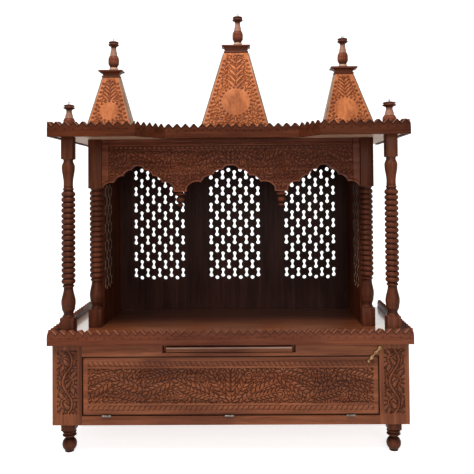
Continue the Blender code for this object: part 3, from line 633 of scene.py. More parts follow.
def make_feet(brown):
    for place in ("front_left", "front_right", "back_left", "back_right"):
        node_name = "foot_" + place
        _, high, middle = size(node_name)
        profile = [(0.0100, 0.0), (0.0112, 0.0008)] + ball(FOOT_BALL, FOOT_BALL_AT, 0.70, 2.62, 18)
        profile += curve([(0.0088, 0.0350), (0.0086, 0.0375)], 3)
        profile += [(0.0088, 0.0392)] + arc((0.0150, 0.0395), (0.0150, 0.0450), 0.0028, 7)
        profile += [(0.0136, 0.0455), (0.0136, 0.0474)] + arc((0.0150, 0.0478), (0.0150, 0.0530), 0.0026, 7)
        profile += [(0.0138, 0.0534), (0.0138, 0.0570)]
        head = upright(middle, FOOT_BLOCK_HALF, FOOT_BLOCK_LOW, high.z)
        turned(node_name, brown, profile, (middle.x, middle.y, 0), (head,))


FINIALS = ("centre", "left", "right", "corner_left", "corner_right")
FINIAL_RADIUS = {"corner_right": 0.0178}
SLIM_FINIAL_RADIUS = 0.0148
# Bands of a finial by share of its height: painted highlight on the base ring, the neck and the groove
# between the discs; the two discs painted darker
FINIAL_SHADES = (
    (0.0, 0.088, -0.9),
    (0.50, 0.78, -0.40),
    (0.82, 0.90, 0.75),
    (0.90, 0.922, -0.5),
    (0.922, 1.01, 0.75),
)


def finial_profile(height, radius):
    """A base ring, a belly with two incised lines, a slim neck and two thin discs."""
    shares = [(0.78, 0.0)] + arc((0.78, 0.0), (0.76, 0.085), 0.06, 5) + [(0.66, 0.092)]
    shares += curve([(0.68, 0.10), (1.0, 0.235)], 7)
    shares += [(0.95, 0.243), (1.0, 0.252), (1.0, 0.33), (0.94, 0.338), (0.99, 0.347)]
    shares += curve([(0.97, 0.40), (0.66, 0.54), (0.47, 0.74)], 7)
    shares += [(0.50, 0.80), (0.90, 0.845)] + arc((0.92, 0.85), (0.92, 0.895), 0.07, 5)
    shares += [(0.72, 0.905), (0.72, 0.920)] + arc((0.88, 0.925), (0.88, 0.97), 0.07, 5)
    shares += curve([(0.80, 0.975), (0.42, 1.0)], 4)
    return [(radius * across, height * up) for across, up in shares]


def make_finials(brown):
    for name in FINIALS:
        low, high, middle = size("finial_" + name)
        profile = finial_profile(high.z - low.z, FINIAL_RADIUS.get(name, SLIM_FINIAL_RADIUS))
        turned("finial_" + name, brown, profile, (middle.x, middle.y, low.z), shades=FINIAL_SHADES)


def make_pendants(brown):
    for side in ("left", "right"):
        _, high, middle = size("pendant_" + side)
        profile = curve([(0.0030, -0.0420), (0.0052, -0.0412), (0.0088, -0.0378), (0.0082, -0.0345)], 4)
        profile += [(0.0052, -0.0325)] + ball(0.0112, -0.0218, 0.55, 2.55, 14, 0.0106)
        profile += [(0.0066, -0.0122)] + arc((0.0120, -0.0100), (0.0120, -0.0040), 0.0026, 7)
        profile += [(0.0085, -0.0030), (0.0085, 0.0)]
        turned("pendant_" + side, brown, profile, (middle.x, middle.y, high.z))


def to_segment(points, start, end):
    """The share of a segment at which each point is nearest to it, and how far away the point is there."""
    run = end - start
    share = np.clip(((points - start) @ run) / max(run @ run, 1e-12), 0, 1)
    return share, np.linalg.norm(points - start - share[:, None] * run, axis=1)


def bow(base, angle, length, bend, steps):
    """A route that starts straight and bends aside: the share of the way at each point, and the points."""
    shares = np.linspace(0, 1, steps)
    ahead, aside = shares * length, bend * shares**2
    x = base[0] + ahead * cos(angle) - aside * sin(angle)
    y = base[1] + ahead * sin(angle) + aside * cos(angle)
    return shares, np.stack([x, y], axis=-1)


def beside(centre, reach, angle):
    """The point at a distance from a centre, in the direction of an angle."""
    return centre[0] + reach * np.cos(angle), centre[1] + reach * np.sin(angle)


STEM_CLEAR, LEAF_CLEAR, FROND_CLEAR = 2.2 * MM, 1.7 * MM, 2.8 * MM
CREASE_WIDTH = 0.55 * MM


class Carving:
    """How high the wood stands over a face, from 0 in the ground of the carving to 1 at the face."""

    def __init__(self, x, y):
        self.x = x
        self.y = y
        self.level = np.ones_like(x)

    def sink(self, inside):
        self.level[inside] = 0

    def distance(self, route, widths):
        """Where the field is near a route; there, the distance over the local width, and the distance."""
        route, widths = np.asarray(route, dtype=float), np.asarray(widths, dtype=float)
        reach = 1.6 * widths.max() + 1.5 * MM
        low, high = route.min(axis=0) - reach, route.max(axis=0) + reach
        near = (self.x > low[0]) & (self.x < high[0]) & (self.y > low[1]) & (self.y < high[1])
        points = np.stack([self.x[near], self.y[near]], axis=-1)
        ratio = np.full(len(points), FAR)
        away = np.full(len(points), FAR)
        for start, end, wide, wide_after in zip(route[:-1], route[1:], widths[:-1], widths[1:]):
            share, gap = to_segment(points, start, end)
            wider = gap / (wide + (wide_after - wide) * share)
            closer = wider < ratio
            ratio = np.where(closer, wider, ratio)
            away = np.where(closer, gap, away)
        return near, ratio, away

    def stroke(self, route, widths, top=1.0, clear=0.0, crease=0.0):
        """A rounded ridge along a route, in a ground cleared round it, with a crease down its middle."""
        near, ratio, away = self.distance(route, widths)
        level = self.level[near]
        if clear:
            level = np.where(ratio < 1 + clear / np.max(widths), np.minimum(level, 0.0), level)
        ridge = top * (1 - 0.40 * ratio**2) - crease * np.exp(-((away / CREASE_WIDTH) ** 2))
        self.level[near] = np.where(ratio < 1, np.maximum(level, ridge), level)

    def disc(self, centre, radius, dome):
        """A round boss up to the face, lower at its rim by dome."""
        away = np.hypot(self.x - centre[0], self.y - centre[1]) / radius
        self.level = np.where(away < 1, 1 - dome * away**2, self.level)

    def pit(self, centre, radius):
        """A round hole with a sloping wall."""
        away = np.hypot(self.x - centre[0], self.y - centre[1]) / radius
        wall = np.clip(away * 2.4 - 1.5, 0, 1)
        self.level = np.where(away < 1, np.minimum(self.level, wall), self.level)

    def leaf(self, base, angle, length, width, bend=0.0, clear=LEAF_CLEAR):
        """A pointed leaf with a crease, curving aside by bend at its tip."""
        shares, route = bow(base, angle, length, bend, 7)
        widths = width * np.clip(np.sin(pi * (0.12 + 0.86 * shares) ** 0.9), 0.12, 1)
        self.stroke(route, widths, clear=clear, crease=0.35)

    def fan(self, base, angle, count, spread, length, width):
        """Leaves that spread from one point, the outer ones shorter and curling outward."""
        order = sorted(range(count), key=lambda step: -abs(step - (count - 1) / 2))
        for step in order:
            side = (step - (count - 1) / 2) / max((count - 1) / 2, 1)
            reach = length * (1 - 0.28 * abs(side))
            self.leaf(base, angle + side * spread, reach, width, bend=side * 0.22 * length)

    def frond(self, base, angle, length, leaflet, bend):
        """A curved stem with slim leaflets in pairs, like a fern."""
        shares, route = bow(base, angle, length, bend, 12)
        count = max(3, int(length / (leaflet * 0.52)))
        for step in range(count):
            share = (step + 0.35) / count
            place = [np.interp(share, shares, route[:, axis]) for axis in (0, 1)]
            heading = angle + atan2(2 * bend * share, length)
            reach = leaflet * (0.55 + 0.45 * sin(pi * (0.20 + 0.72 * share)))
            for side in (-1, 1):
                lean = heading + side * 0.78
                self.leaf(place, lean, reach, leaflet * 0.19, -side * reach * 0.20, FROND_CLEAR)
        heading = angle + atan2(2 * bend, length)
        self.leaf(route[-1], heading, leaflet * 0.7, leaflet * 0.17, clear=FROND_CLEAR)
        self.stroke(route, np.linspace(1.3, 0.8, len(route)) * MM, clear=0.7 * MM)

    def rosette(self, centre, radius, petals):
        for step in range(petals):
            self.leaf(centre, 2 * pi * step / petals, radius, radius * 0.26)
        self.disc(centre, radius * 0.26, 0.3)

    def curl(self, centre, radius, start, turn, width):
        """A spiral stem that winds in to a bud; turn is +1 or -1."""
        angles = np.linspace(0, 1.6 * 2 * pi, 26)
        reach = radius * (1 - angles / angles[-1] * 0.86)
        x, y = beside(centre, reach, start + turn * angles)
        self.stroke(np.stack([x, y], axis=-1), [width] * len(angles), 0.95, clear=0.9 * MM)
        self.disc(centre, width * 1.3, 0.3)

    def fill(self, inside, leaf, seed):
        """Small fans of leaves all over an area, each turned by chance."""
        chance = np.random.default_rng(seed)
        low = (self.x[inside].min(), self.y[inside].min())
        high = (self.x[inside].max(), self.y[inside].max())
        for x in np.arange(low[0], high[0] + leaf * 0.3, leaf * 0.62):
            for y in np.arange(low[1], high[1] + leaf * 0.3, leaf * 0.62):
                place = (x + chance.uniform(-0.12, 0.12) * leaf, y + chance.uniform(-0.12, 0.12) * leaf)
                near = (np.abs(self.x - place[0]) < leaf * 0.22) & (np.abs(self.y - place[1]) < leaf * 0.22)
                if (near & inside).any():
                    angle = chance.uniform(-pi, pi)
                    self.fan(beside(place, -0.3 * leaf, angle), angle, 3, 0.85, leaf * 0.90, leaf * 0.19)

    def scroll(self, middle, low, high, seed, inside):
        """An upright waving stem with a big curl in each bend and broad leaves beside it."""
        leaf = SCROLL_LEAF
        self.fill(inside, leaf * 0.70, seed)
        rise = np.linspace(low, high, 14 * SCROLL_BENDS + 1)
        wave = np.sin((rise - low) / (high - low) * SCROLL_BENDS * pi)
        route = np.stack([middle + SCROLL_SWAY * wave, rise], axis=-1)
        tall = (high - low) / SCROLL_BENDS
        for bend in range(SCROLL_BENDS):
            side = -1 if bend % 2 else 1
            heart = (middle - side * SCROLL_SWAY * 0.35, low + (bend + 0.5) * tall)
            for step in range(5):
                angle = (pi if side > 0 else 0) + (step - 2) * 0.55
                foot = beside(heart, 0.45 * leaf, angle)
                self.leaf(foot, angle, leaf * 0.8, leaf * 0.17, side * leaf * 0.12, FROND_CLEAR)
            self.curl(heart, leaf * 0.50, pi / 2, side, 2.2 * MM)
            foot = route[14 * bend + 3]
            self.leaf(foot, pi / 2 + side * 0.9, leaf, leaf * 0.18, -side * leaf * 0.2, FROND_CLEAR)
            self.leaf(foot, pi / 2 - side * 0.8, leaf * 0.9, leaf * 0.18, side * leaf * 0.2, FROND_CLEAR)
        self.stroke(route, [2.4 * MM] * len(route), clear=STEM_CLEAR)
        self.level[~inside] = 1

    def foliage(self, left, right, low, high, bays, leaflet, seed, inside):
        """Slanting fronds that lean away from an upright one in the middle, with curls between them."""
        chance = np.random.default_rng(seed)
        pitch = (right - left) / bays
        middle = (low + high) / 2
        tall = high - low
        self.fill(inside, leaflet * 0.85, seed + 1)
        for bay in range(bays):
            x = left + (bay + 0.5) * pitch
            side = int(np.sign(bay - (bays - 1) / 2))
            flip = 1 if bay % 2 else -1
            if side == 0:
                foot = (x, low + 0.04 * tall)
                for lean in (-0.75, 0.75, 0.0):
                    self.frond(foot, pi / 2 - lean, tall * 0.90, leaflet, lean * tall * 0.20)
                continue
            slope = flip * chance.uniform(0.55, 0.75)
            heading = slope if side > 0 else pi - slope
            foot = (x - side * 0.62 * pitch, middle - flip * tall * 0.42)
            self.frond(foot, heading, tall * 1.25, leaflet, -side * flip * tall * 0.16)
            slope = flip * chance.uniform(0.05, 0.25)
            heading = slope if side > 0 else pi - slope
            foot = (x - side * 0.35 * pitch, middle - flip * tall * 0.34)
            self.frond(foot, heading, tall * 0.80, leaflet * 0.85, side * flip * tall * 0.08)
            if bay % 3 != 1:
                place = (x - side * 0.42 * pitch, middle + flip * tall * 0.27)
                self.curl(place, leaflet * 0.46, chance.uniform(0, 2 * pi), flip, 2.0 * MM)
        self.level[~inside] = 1

    def finished(self, depth, painted_shade=0.85):
        """How far the face stands out, and how much painted shade its hollows get."""
        return (self.level - 1) * depth, np.clip((1 - self.level) * 1.45 - 0.35, 0, 1) * painted_shade


def even(start, end, step):
    """Evenly spaced values from start to end, about step apart."""
    return np.linspace(start, end, max(2, int(round(abs(end - start) / step)) + 1))


FAR = 1e3
RELIEF_STEP = 1.35 * MM
DOOR_STEP = 1.15 * MM
CARVING_DEPTH = 2.5 * MM
SCROLL_LEAF = 0.027
SCROLL_BENDS = 3
SCROLL_SWAY = 0.0120
DOOR_CORNER = 7.0 * MM
DOOR_EDGE = 2.6 * MM
DOOR_RIM, DOOR_STRIP = 0.0135, 0.0275
DOOR_LEAF = 0.022
ROPE_FROM_EDGE = 0.0170
ROPE_HALF = 0.0062
ROPE_PITCH = 0.0130
ROPE_GROUND = 0.30
STILE_RIM, STILE_FOOT, STILE_HEAD = 0.0110, 0.0260, 0.0135
LINE_HALF = 1.2 * MM


def rope(carving, start, end, middle, lean):
    """A row of slanting leaves like a twisted cord."""
    count = int(round((end - start) / ROPE_PITCH))
    pitch = (end - start) / count
    for step in range(count):
        x = start + (step + 0.5) * pitch
        tip = (x + 0.42 * pitch, middle + lean * ROPE_HALF * 0.9)
        foot = (x - 0.42 * pitch, middle - lean * ROPE_HALF * 0.9)
        heart = ((foot[0] + tip[0]) / 2, middle)
        carving.stroke([foot, heart, tip], [1.4 * MM, 0.40 * pitch, 1.4 * MM])


def carved_board(node_name, name, material, body, slot, step, relief, edges=None, rows=None):
    """A board with a carved front in place of a CAD node; edges holds its columns and its lower edge."""
    low, high, _ = size(node_name)
    along = even(low.x, high.x, step)
    along, bottom = edges or (along, np.full_like(along, low.z))
    shape = Shape()
    stand = Matrix.Translation((0, high.y, 0)) @ FACING_FRONT
    rows = rows or int((high.z - low.z) / step)
    shape.board(along, bottom, np.full_like(along, high.z), rows, relief, high.y - low.y, stand)
    stand_for(shape, name, material, body, node_name, sharp=CARVED_SHARP)


def make_door(red):
    low, high, middle = size("door_panel")
    left, right = low.x + DOOR_RIM, high.x - DOOR_RIM
    foot, head = low.z + DOOR_STRIP, high.z - DOOR_STRIP

    def relief(x, y):
        carving = Carving(x, y)
        in_x = (x > left) & (x < right)
        field = in_x & (y > foot) & (y < head)
        carving.sink(field)
        carving.foliage(left, right, foot, head, 9, DOOR_LEAF, 5, field)
        for at_z, lean in ((low.z + ROPE_FROM_EDGE, 1), (high.z - ROPE_FROM_EDGE, -1)):
            carving.level[in_x & (np.abs(y - at_z) < ROPE_HALF)] = ROPE_GROUND
            rope(carving, left, right, at_z, lean)
        carving.level[~in_x] = 1
        from_middle = np.abs(y - middle.z)
        carving.level[in_x & (np.abs(from_middle - (middle.z - foot + 1.0 * MM)) < LINE_HALF)] = 1
        out, hollow = carving.finished(CARVING_DEPTH)
        # Painted shade round the door's rounded edge, for the dark gap round the door.
        across = np.abs(x - middle.x) - (high.x - middle.x - DOOR_CORNER)
        above = from_middle - (high.z - middle.z - DOOR_CORNER)
        inset = DOOR_CORNER - np.hypot(np.clip(across, 0, None), np.clip(above, 0, None))
        edge = np.clip(1 - inset / DOOR_EDGE, 0, 1)
        return out - edge * DOOR_EDGE * 0.6, np.maximum(hollow, np.clip(edge * 3, 0, 0.95))

    carved_board("door_panel", "carved_door", red, "door", "base_wood", DOOR_STEP, relief)


def make_stiles(red):
    for side in ("left", "right"):
        node_name = "base_stile_" + side
        low, high, middle = size(node_name)
        foot, head = low.z + STILE_FOOT, high.z - STILE_HEAD

        def relief(x, y):
            carving = Carving(x, y)
            field = (x > low.x + STILE_RIM) & (x < high.x - STILE_RIM) & (y > foot) & (y < head)
            carving.sink(field)
            carving.scroll(middle.x, foot, head, 11 + len(side), field)
            return carving.finished(CARVING_DEPTH, 0.9)

        carved_board(node_name, "carved_stile_" + side, red, "cabinet", "base_wood", RELIEF_STEP, relief)


FENCE_HEIGHT = 0.0385
FENCE_THICK = 0.010
FENCE_ROWS = 18
TOOTH_HEIGHT = 0.0112
TOOTH_PITCH = 0.0221
TOOTH_STEPS = 12
FENCES_ON_PEAK = ("roof_fence_wing_left",)
ZIGZAG = 5.0 * MM
CHIP_HALF_HEIGHT = 4.2 * MM
CHIP_BELOW_TEETH = 0.0095
GAP = 0.3 * MM
DECK_SIDE, FRONT, BACK = 0.4575, -0.205, 0.205
ROOF_SIDE = 0.4565
ROOF_WING_END = {"left": 0.2340, "right": 0.2291}
ROOF_BAY_END = {"left": 0.1707, "right": 0.1821}
ROOF_RECESS_DEPTH = 0.078


def make_fence(node_name, start, end, level, material, turns):
    """A toothed board whose outer face stands on the plan line from start to end, mitred where it turns."""
    run = (end[0] - start[0], end[1] - start[1])
    length = hypot(*run)
    count = max(1, round(length / TOOTH_PITCH))
    pitch = length / count
    band = FENCE_HEIGHT - TOOTH_HEIGHT
    ends = [GAP if turn is not None else 0.0 for turn in turns]
    fine = [even(tooth * pitch, (tooth + 1) * pitch, pitch / TOOTH_STEPS)[:-1] for tooth in range(count)]
    along = np.clip(np.concatenate(fine + [[length]]), ends[0], length - ends[1])
    offset = 0.5 if node_name in FENCES_ON_PEAK else 0.0
    peak = 1 - np.abs((along / pitch + offset) % 1.0 * 2 - 1)
    top = band + TOOTH_HEIGHT * np.clip(peak * 1.06 - 0.02, 0.0, 0.985)

    def relief(x, y):
        """A recessed band that follows the teeth and a chip under each notch between them, both darkened
        with painted shade.
        """
        beside_notch = np.abs((x / pitch + offset) % 1.0 - 0.5) * pitch
        from_chips = np.abs(band - CHIP_BELOW_TEETH - y)
        chip = np.clip(1 - beside_notch / (0.26 * pitch) - from_chips / CHIP_HALF_HEIGHT, 0, 1)
        zigzag = np.clip(1.4 - (top[None, :] - y) / ZIGZAG, 0, 1)
        hollow = np.clip(np.maximum(chip * 0.7, zigzag * 0.9), 0, 0.85)
        # Painted highlight along the tooth tops.
        hollow[-1] = -0.35
        return -0.7 * MM * np.clip(chip * 1.5, 0, 1) - 0.9 * MM * zigzag, hollow

    shifts = []
    for angle, inward in zip(turns, (1, -1)):
        shifts.append(0.0 if angle is None else inward * FENCE_THICK * tan(angle / 2))
    stand = Matrix.Translation((start[0], start[1], level)) @ Matrix.Rotation(atan2(run[1], run[0]), 4, "Z")
    stand = stand @ FACING_FRONT @ Matrix.Translation((0, 0, -FENCE_THICK))
    shape = Shape()
    shape.board(along, np.zeros_like(along), top, FENCE_ROWS, relief, FENCE_THICK, stand, shifts)
    stand_for(shape, "toothed_" + node_name, material, "cabinet", node_name, sharp=SAWN_SHARP)


def make_fence_run(stem, names, corners, level, materials):
    headings = [atan2(b[1] - a[1], b[0] - a[0]) for a, b in zip(corners, corners[1:])]
    turns = [None] + [after - before for before, after in zip(headings, headings[1:])] + [None]
    for name, start, end, *ends in zip(names, corners, corners[1:], turns, turns[1:]):
        material = materials["Y"] if name in ("left", "right") else materials["X"]
        make_fence(stem + name, start, end, level, material, ends)


def make_fences(brown, roof):
    corners = [(-DECK_SIDE, BACK), (-DECK_SIDE, FRONT), (DECK_SIDE, FRONT), (DECK_SIDE, BACK)]
    level = size("deck_fence_front")[0].z
    make_fence_run("deck_fence_", ("left", "front", "right"), corners, level, brown)
    bay_front = FRONT + ROOF_RECESS_DEPTH
    corners = [
        (-ROOF_SIDE, BACK),
        (-ROOF_SIDE, FRONT),
        (-ROOF_WING_END["left"], FRONT),
        (-ROOF_BAY_END["left"], bay_front),
        (ROOF_BAY_END["right"], bay_front),
        (ROOF_WING_END["right"], FRONT),
        (ROOF_SIDE, FRONT),
        (ROOF_SIDE, BACK),
    ]
    names = ("left", "wing_left", "splay_left", "middle", "splay_right", "wing_right", "right")
    make_fence_run("roof_fence_", names, corners, size("roof_fence_middle")[0].z, roof)


ARCH_RISE = 0.0597
ARCH_STEM = 0.036
ARCH_STEM_DROP = 0.0116
ARCH_STEM_SPACING = 0.277
ARCH_LOBE_STEPS = 9
ARCH_LOBE_SAG = 0.18
ARCH_CUSPS = ((1.0, 0.0), (0.68, 0.23), (0.42, 0.54), (0.185, 0.81), (0.0, 1.0))
ARCH_RIM = 4.5 * MM
ARCH_GUTTER = 1.5 * MM
ARCH_ROWS = 92
ARCH_SIDE = 20 * MM
ARCH_HEAD = 30 * MM
ARCH_LEAF = 0.021
ARCH_LEAVES = (74 * MM, 24 * MM)
ARCH_LINES = (9 * MM, 13 * MM)
ARCH_ROSETTE, ARCH_ROSETTE_DOWN = 0.012, 90 * MM
BEADS_DOWN = 23 * MM
BEAD_BAND_HALF = 5.0 * MM
BEAD_PITCH = 13 * MM
BEAD_RADIUS = 3.9 * MM
CLOSEST_COLUMNS = 0.12 * MM


def arch(centre, half_width, level):
    """The scalloped underside of one bay from left to right, with a cusp between each two lobes."""
    right = [(half_width * share, level + ARCH_RISE * rise) for share, rise in ARCH_CUSPS]
    points = [right[0]]
    for start, end in zip(right, right[1:]):
        run = (end[0] - start[0], end[1] - start[1])
        for step in range(1, ARCH_LOBE_STEPS + 1):
            share = step / ARCH_LOBE_STEPS
            bulge = 4 * share * (1 - share) * ARCH_LOBE_SAG
            across = start[0] + run[0] * share + run[1] * bulge
            points.append((across, start[1] + run[1] * share - run[0] * bulge))
    left = [(centre - x, z) for x, z in points]
    return left + [(centre + x, z) for x, z in reversed(points[:-1])]


def arch_underside(half, stem_end):
    """The whole lower edge of the arch board from left to right."""
    level = stem_end + ARCH_STEM_DROP
    stem, edge = ARCH_STEM_SPACING / 2, ARCH_STEM / 2
    side_half = (half - stem - edge) / 2 - GAP
    side_centre = stem + edge + (half - stem - edge) / 2
    under = [(-half, level)] + arch(-side_centre, side_half, level)
    under += [(-stem - edge, stem_end), (-stem + edge, stem_end)]
    under += arch(0, stem - edge - GAP, level)
    under += [(stem - edge, stem_end), (stem + edge, stem_end)]
    return np.array(under + arch(side_centre, side_half, level) + [(half, level)])


def away_from(x, y, line):
    """Each point's distance from a line of points."""
    flat = np.stack([x.reshape(-1), y.reshape(-1)], axis=-1)
    away = np.full(len(flat), FAR)
    for start, end in zip(line[:-1], line[1:]):
        away = np.minimum(away, to_segment(flat, start, end)[1])
    return away.reshape(x.shape)


def make_arch_board(brown):
    low, high, _ = size("arch_board")
    half, top = high.x, high.z
    inner = half - ARCH_SIDE
    under = arch_underside(half, low.z)
    along = np.unique(np.round(np.concatenate([even(-half, half, RELIEF_STEP), under[:, 0]]), 6))
    along = along[np.concatenate([[True], np.diff(along) > CLOSEST_COLUMNS])]
    along[-1] = half
    bottom = np.interp(along, under[:, 0] + np.arange(len(under)) * 1e-9, under[:, 1])

    def relief(x, y):
        carving = Carving(x, y)
        edge = away_from(x, y, under)
        below_head = y < top - ARCH_HEAD
        field = (edge > ARCH_RIM + ARCH_GUTTER) & below_head & (np.abs(x) < inner)
        carving.sink(field)
        foot, head = (top - down for down in ARCH_LEAVES)
        carving.foliage(-inner, inner, foot, head, 11, ARCH_LEAF, 21, field)
        for stem in (-ARCH_STEM_SPACING / 2, ARCH_STEM_SPACING / 2):
            carving.rosette((stem, top - ARCH_ROSETTE_DOWN), ARCH_ROSETTE, 7)
        carving.level[~field] = 1
        carving.level[(edge > ARCH_RIM) & (edge < ARCH_RIM + ARCH_GUTTER) & below_head] = 0.1
        bead_line = top - BEADS_DOWN
        carving.sink((np.abs(y - bead_line) < BEAD_BAND_HALF) & (np.abs(x) < inner))
        for step in range(int(2 * inner / BEAD_PITCH)):
            carving.disc((-inner + (step + 0.5) * BEAD_PITCH, bead_line), BEAD_RADIUS, 0.7)
        for down in ARCH_LINES:
            line = np.clip(np.abs(y - (top - down)) / LINE_HALF, 0.35, 1)
            carving.level = np.minimum(carving.level, line)
        beside_field = np.abs(np.abs(x) - inner - 1 * MM) < LINE_HALF
        carving.level[beside_field & (y > low.z + ARCH_STEM_DROP + 4 * MM)] = 0.2
        return carving.finished(CARVING_DEPTH, 0.8)

    edges = (along, bottom)
    names = ("arch_board", "carved_arch_board")
    carved_board(*names, brown, "cabinet", "dark_wood", RELIEF_STEP, relief, edges, ARCH_ROWS)


HOLE_EDGE_AREA = 2e-4
LATTICE_PITCH = 0.01825
LATTICE_RISE = 0.0505
LATTICE_BOTTOM = 0.1133
LATTICE_SPACING = 0.2340
LATTICE_OFF_CENTRE = 0.0027
HOLE_HEIGHT = 0.0285
BULB = 0.0058
WAIST = 0.0026
BULB_OPENING = 0.62
END_HOLE = 0.0060
END_HOLE_CORNERS = 14
END_HOLE_BEYOND = 7 * MM
BACK_COLUMNS, BACK_ROWS = 9, 7
SIDE_COLUMNS, SIDE_ROWS = 5, 6
SIDE_LATTICE_FROM_FRONT = 0.054


def dumbbell(x, y):
    """The outline of a hole with two round bulbs and a narrow waist."""
    reach = HOLE_HEIGHT / 2 - BULB
    lower = ball(BULB * 1.06, -reach, BULB_OPENING - pi, pi - BULB_OPENING, 11, BULB)
    upper = ball(BULB * 0.96, reach, BULB_OPENING, 2 * pi - BULB_OPENING, 11, BULB)
    points = lower + [(WAIST, 0.0)] + upper + [(-WAIST, 0.0)]
    return [(x + px, y + py) for px, py in points]


def round_hole(x, y):
    angles = np.arange(END_HOLE_CORNERS) * 2 * pi / END_HOLE_CORNERS
    return [(x + END_HOLE * cos(a), y + END_HOLE * sin(a)) for a in angles]


def lattice(centre, bottom, columns, rows):
    """Staggered columns of dumbbell holes; the shorter ones end in a round hole at both ends."""
    holes = []
    for column in range(columns):
        x = centre + (column - (columns - 1) / 2) * LATTICE_PITCH
        short = column % 2
        for row in range(rows - short):
            holes.append(dumbbell(x, bottom + (row + short / 2) * LATTICE_RISE))
        if short:
            end = HOLE_HEIGHT / 2 - BULB + END_HOLE_BEYOND
            holes.append(round_hole(x, bottom - end))
            holes.append(round_hole(x, bottom + (rows - 1) * LATTICE_RISE + end))
    return holes


def make_walls(dark, umber, lit_hole_walls):
    low, high, _ = size("back_wall")
    deck = size("deck_board")[1].z
    loops = [[(low.x, low.z), (high.x, low.z), (high.x, high.z), (low.x, high.z)]]
    for panel in (-1, 0, 1):
        centre = LATTICE_OFF_CENTRE + panel * LATTICE_SPACING
        loops += lattice(centre, deck + LATTICE_BOTTOM, BACK_COLUMNS, BACK_ROWS)
    shape = Shape()
    stand = Matrix.Translation((0, high.y, 0)) @ FACING_FRONT
    shape.plate(loops, high.y - low.y, stand)
    # The back wall's near-black wood is painted shade.
    stand_for(shape, "pierced_back_wall", dark, "cabinet", "back_wall")
    for side in ("left", "right"):
        node_name = "shrine_side_" + side
        low, high, _ = size(node_name)
        loops = [[(low.y, low.z), (high.y, low.z), (high.y, high.z), (low.y, high.z)]]
        centre = low.y + SIDE_LATTICE_FROM_FRONT
        loops += lattice(centre, deck + LATTICE_BOTTOM, SIDE_COLUMNS, SIDE_ROWS)
        shape = Shape()
        shape.plate(loops, high.x - low.x, Matrix.Translation((low.x, 0, 0)) @ FACING_RIGHT)
        wall = stand_for(shape, "pierced_" + node_name, umber, "cabinet", node_name)
        # The walls of the holes take the pale tan wood as painted light, where light from outside falls
        # through.
        wall.data.materials.append(lit_hole_walls)
        for face in wall.data.polygons:
            face.material_index = int(abs(face.normal.x) < 0.3 and face.area < HOLE_EDGE_AREA)


SPIRES = ("left", "centre", "right")
SPIRE_DEPTH = 2.0 * MM
SPIRE_EDGE = 4.2 * MM
SPIRE_FIELD_INSET = 15.5 * MM
NOTCH_PITCH = 12.5 * MM
NOTCH_INSET = 11.5 * MM
NOTCH_RADIUS = 4.6 * MM
PETAL_PITCH = 11.0 * MM
PETAL_RADIUS = 3.9 * MM
MEDALLION = {"left": 0.0250, "centre": 0.0375, "right": 0.0325}
MEDALLION_HEIGHT = {"left": 0.066, "centre": 0.088, "right": 0.067}
MEDALLION_OFF = {"left": -0.0015, "centre": 0.0015, "right": -0.0030}
SPIRE_TOP = {"left": 0.0517, "centre": 0.0729, "right": 0.0564}
SPIRE_SWAY = {"left": -0.0030, "centre": 0.0029, "right": -0.0085}
SPIRE_COLLAR_IN = {"left": 0.001, "centre": 0.003, "right": 0.001}
SPIRE_BOX_FACES = ((1, 2, 6, 5), (2, 3, 7, 6), (3, 0, 4, 7), (4, 5, 6, 7), (0, 3, 2, 1))
CAP_PLATE = 5.0 * MM
CAP_COVE = ((-1.0, 0.0), (0.4, 0.10), (0.8, 0.22), (0.0, 0.34), (-2.0, 0.40))
CAP_PLATE_EDGE = ((0.6, 0.2), (0.0, 1.0), (0.0, 4.2), (0.8, 5.0))


def carve_spire(place, base, top, slant):
    """The relief of a spire's front: edge notches, a plume, a plain medallion and curls below it."""

    def relief(x, y):
        half = base + (top - base) * y / slant
        inset = half - np.abs(x)
        carving = Carving(x, y)
        field = (inset > SPIRE_FIELD_INSET) & (y > 8 * MM) & (y < slant - 6 * MM)
        carving.sink(field)
        centre = (MEDALLION_OFF[place], MEDALLION_HEIGHT[place])
        radius = MEDALLION[place]
        crown = centre[1] + radius
        tall = slant - 10 * MM - crown
        unit = radius / 0.038
        petal_ring = radius + 4.5 * MM
        carving.fill(field, 0.020, 31)
        for step in range(5):
            rise = crown + 4 * MM + tall * (4 - step) / 5.4
            for side in (-1, 1):
                foot = (centre[0] * 0.6 + side * 1.5 * MM, rise)
                reach = (0.022 + 0.004 * step) * (0.55 + 0.45 * unit)
                width = 3.4 * MM * unit
                carving.leaf(foot, pi / 2 - side * 0.62, reach, width, -side * 5 * MM, FROND_CLEAR)
        for side in (-1, 1):
            for step in (0, 1):
                angle = pi / 2 - side * (0.85 + 0.50 * step)
                spot = beside(centre, radius + 9 * MM, angle)
                carving.curl(spot, 8.0 * MM * unit, angle + pi, side, 1.7 * MM)
        for step in range(5):
            angle = -pi / 2 + (step - 2) * 0.42
            carving.fan(beside(centre, radius + 2 * MM, angle), angle, 3, 0.7, 0.017, 2.4 * MM)
        carving.level[~field] = 1
        away = np.hypot(x - centre[0], y - centre[1])
        carving.level[(away < radius + 8.0 * MM) & (inset > SPIRE_FIELD_INSET)] = 1
        petals = int(2 * pi * petal_ring / PETAL_PITCH)
        for step in range(petals):
            carving.pit(beside(centre, petal_ring, -pi / 2 + 2 * pi * step / petals), PETAL_RADIUS)
        carving.disc(centre, radius, 0.0)
        carving.level[inset < SPIRE_FIELD_INSET] = 1
        for step in range(int((slant - 10 * MM) / NOTCH_PITCH)):
            rise = 9 * MM + step * NOTCH_PITCH
            across = base + (top - base) * rise / slant - NOTCH_INSET
            for side in (-1, 1):
                carving.pit((side * across, rise), NOTCH_RADIUS)
        out, hollow = carving.finished(SPIRE_DEPTH)
        bevel = np.clip(SPIRE_EDGE - inset, 0, SPIRE_EDGE)
        return out - bevel * 0.9, np.where(bevel > 0.5 * MM, 0, hollow)

    return relief


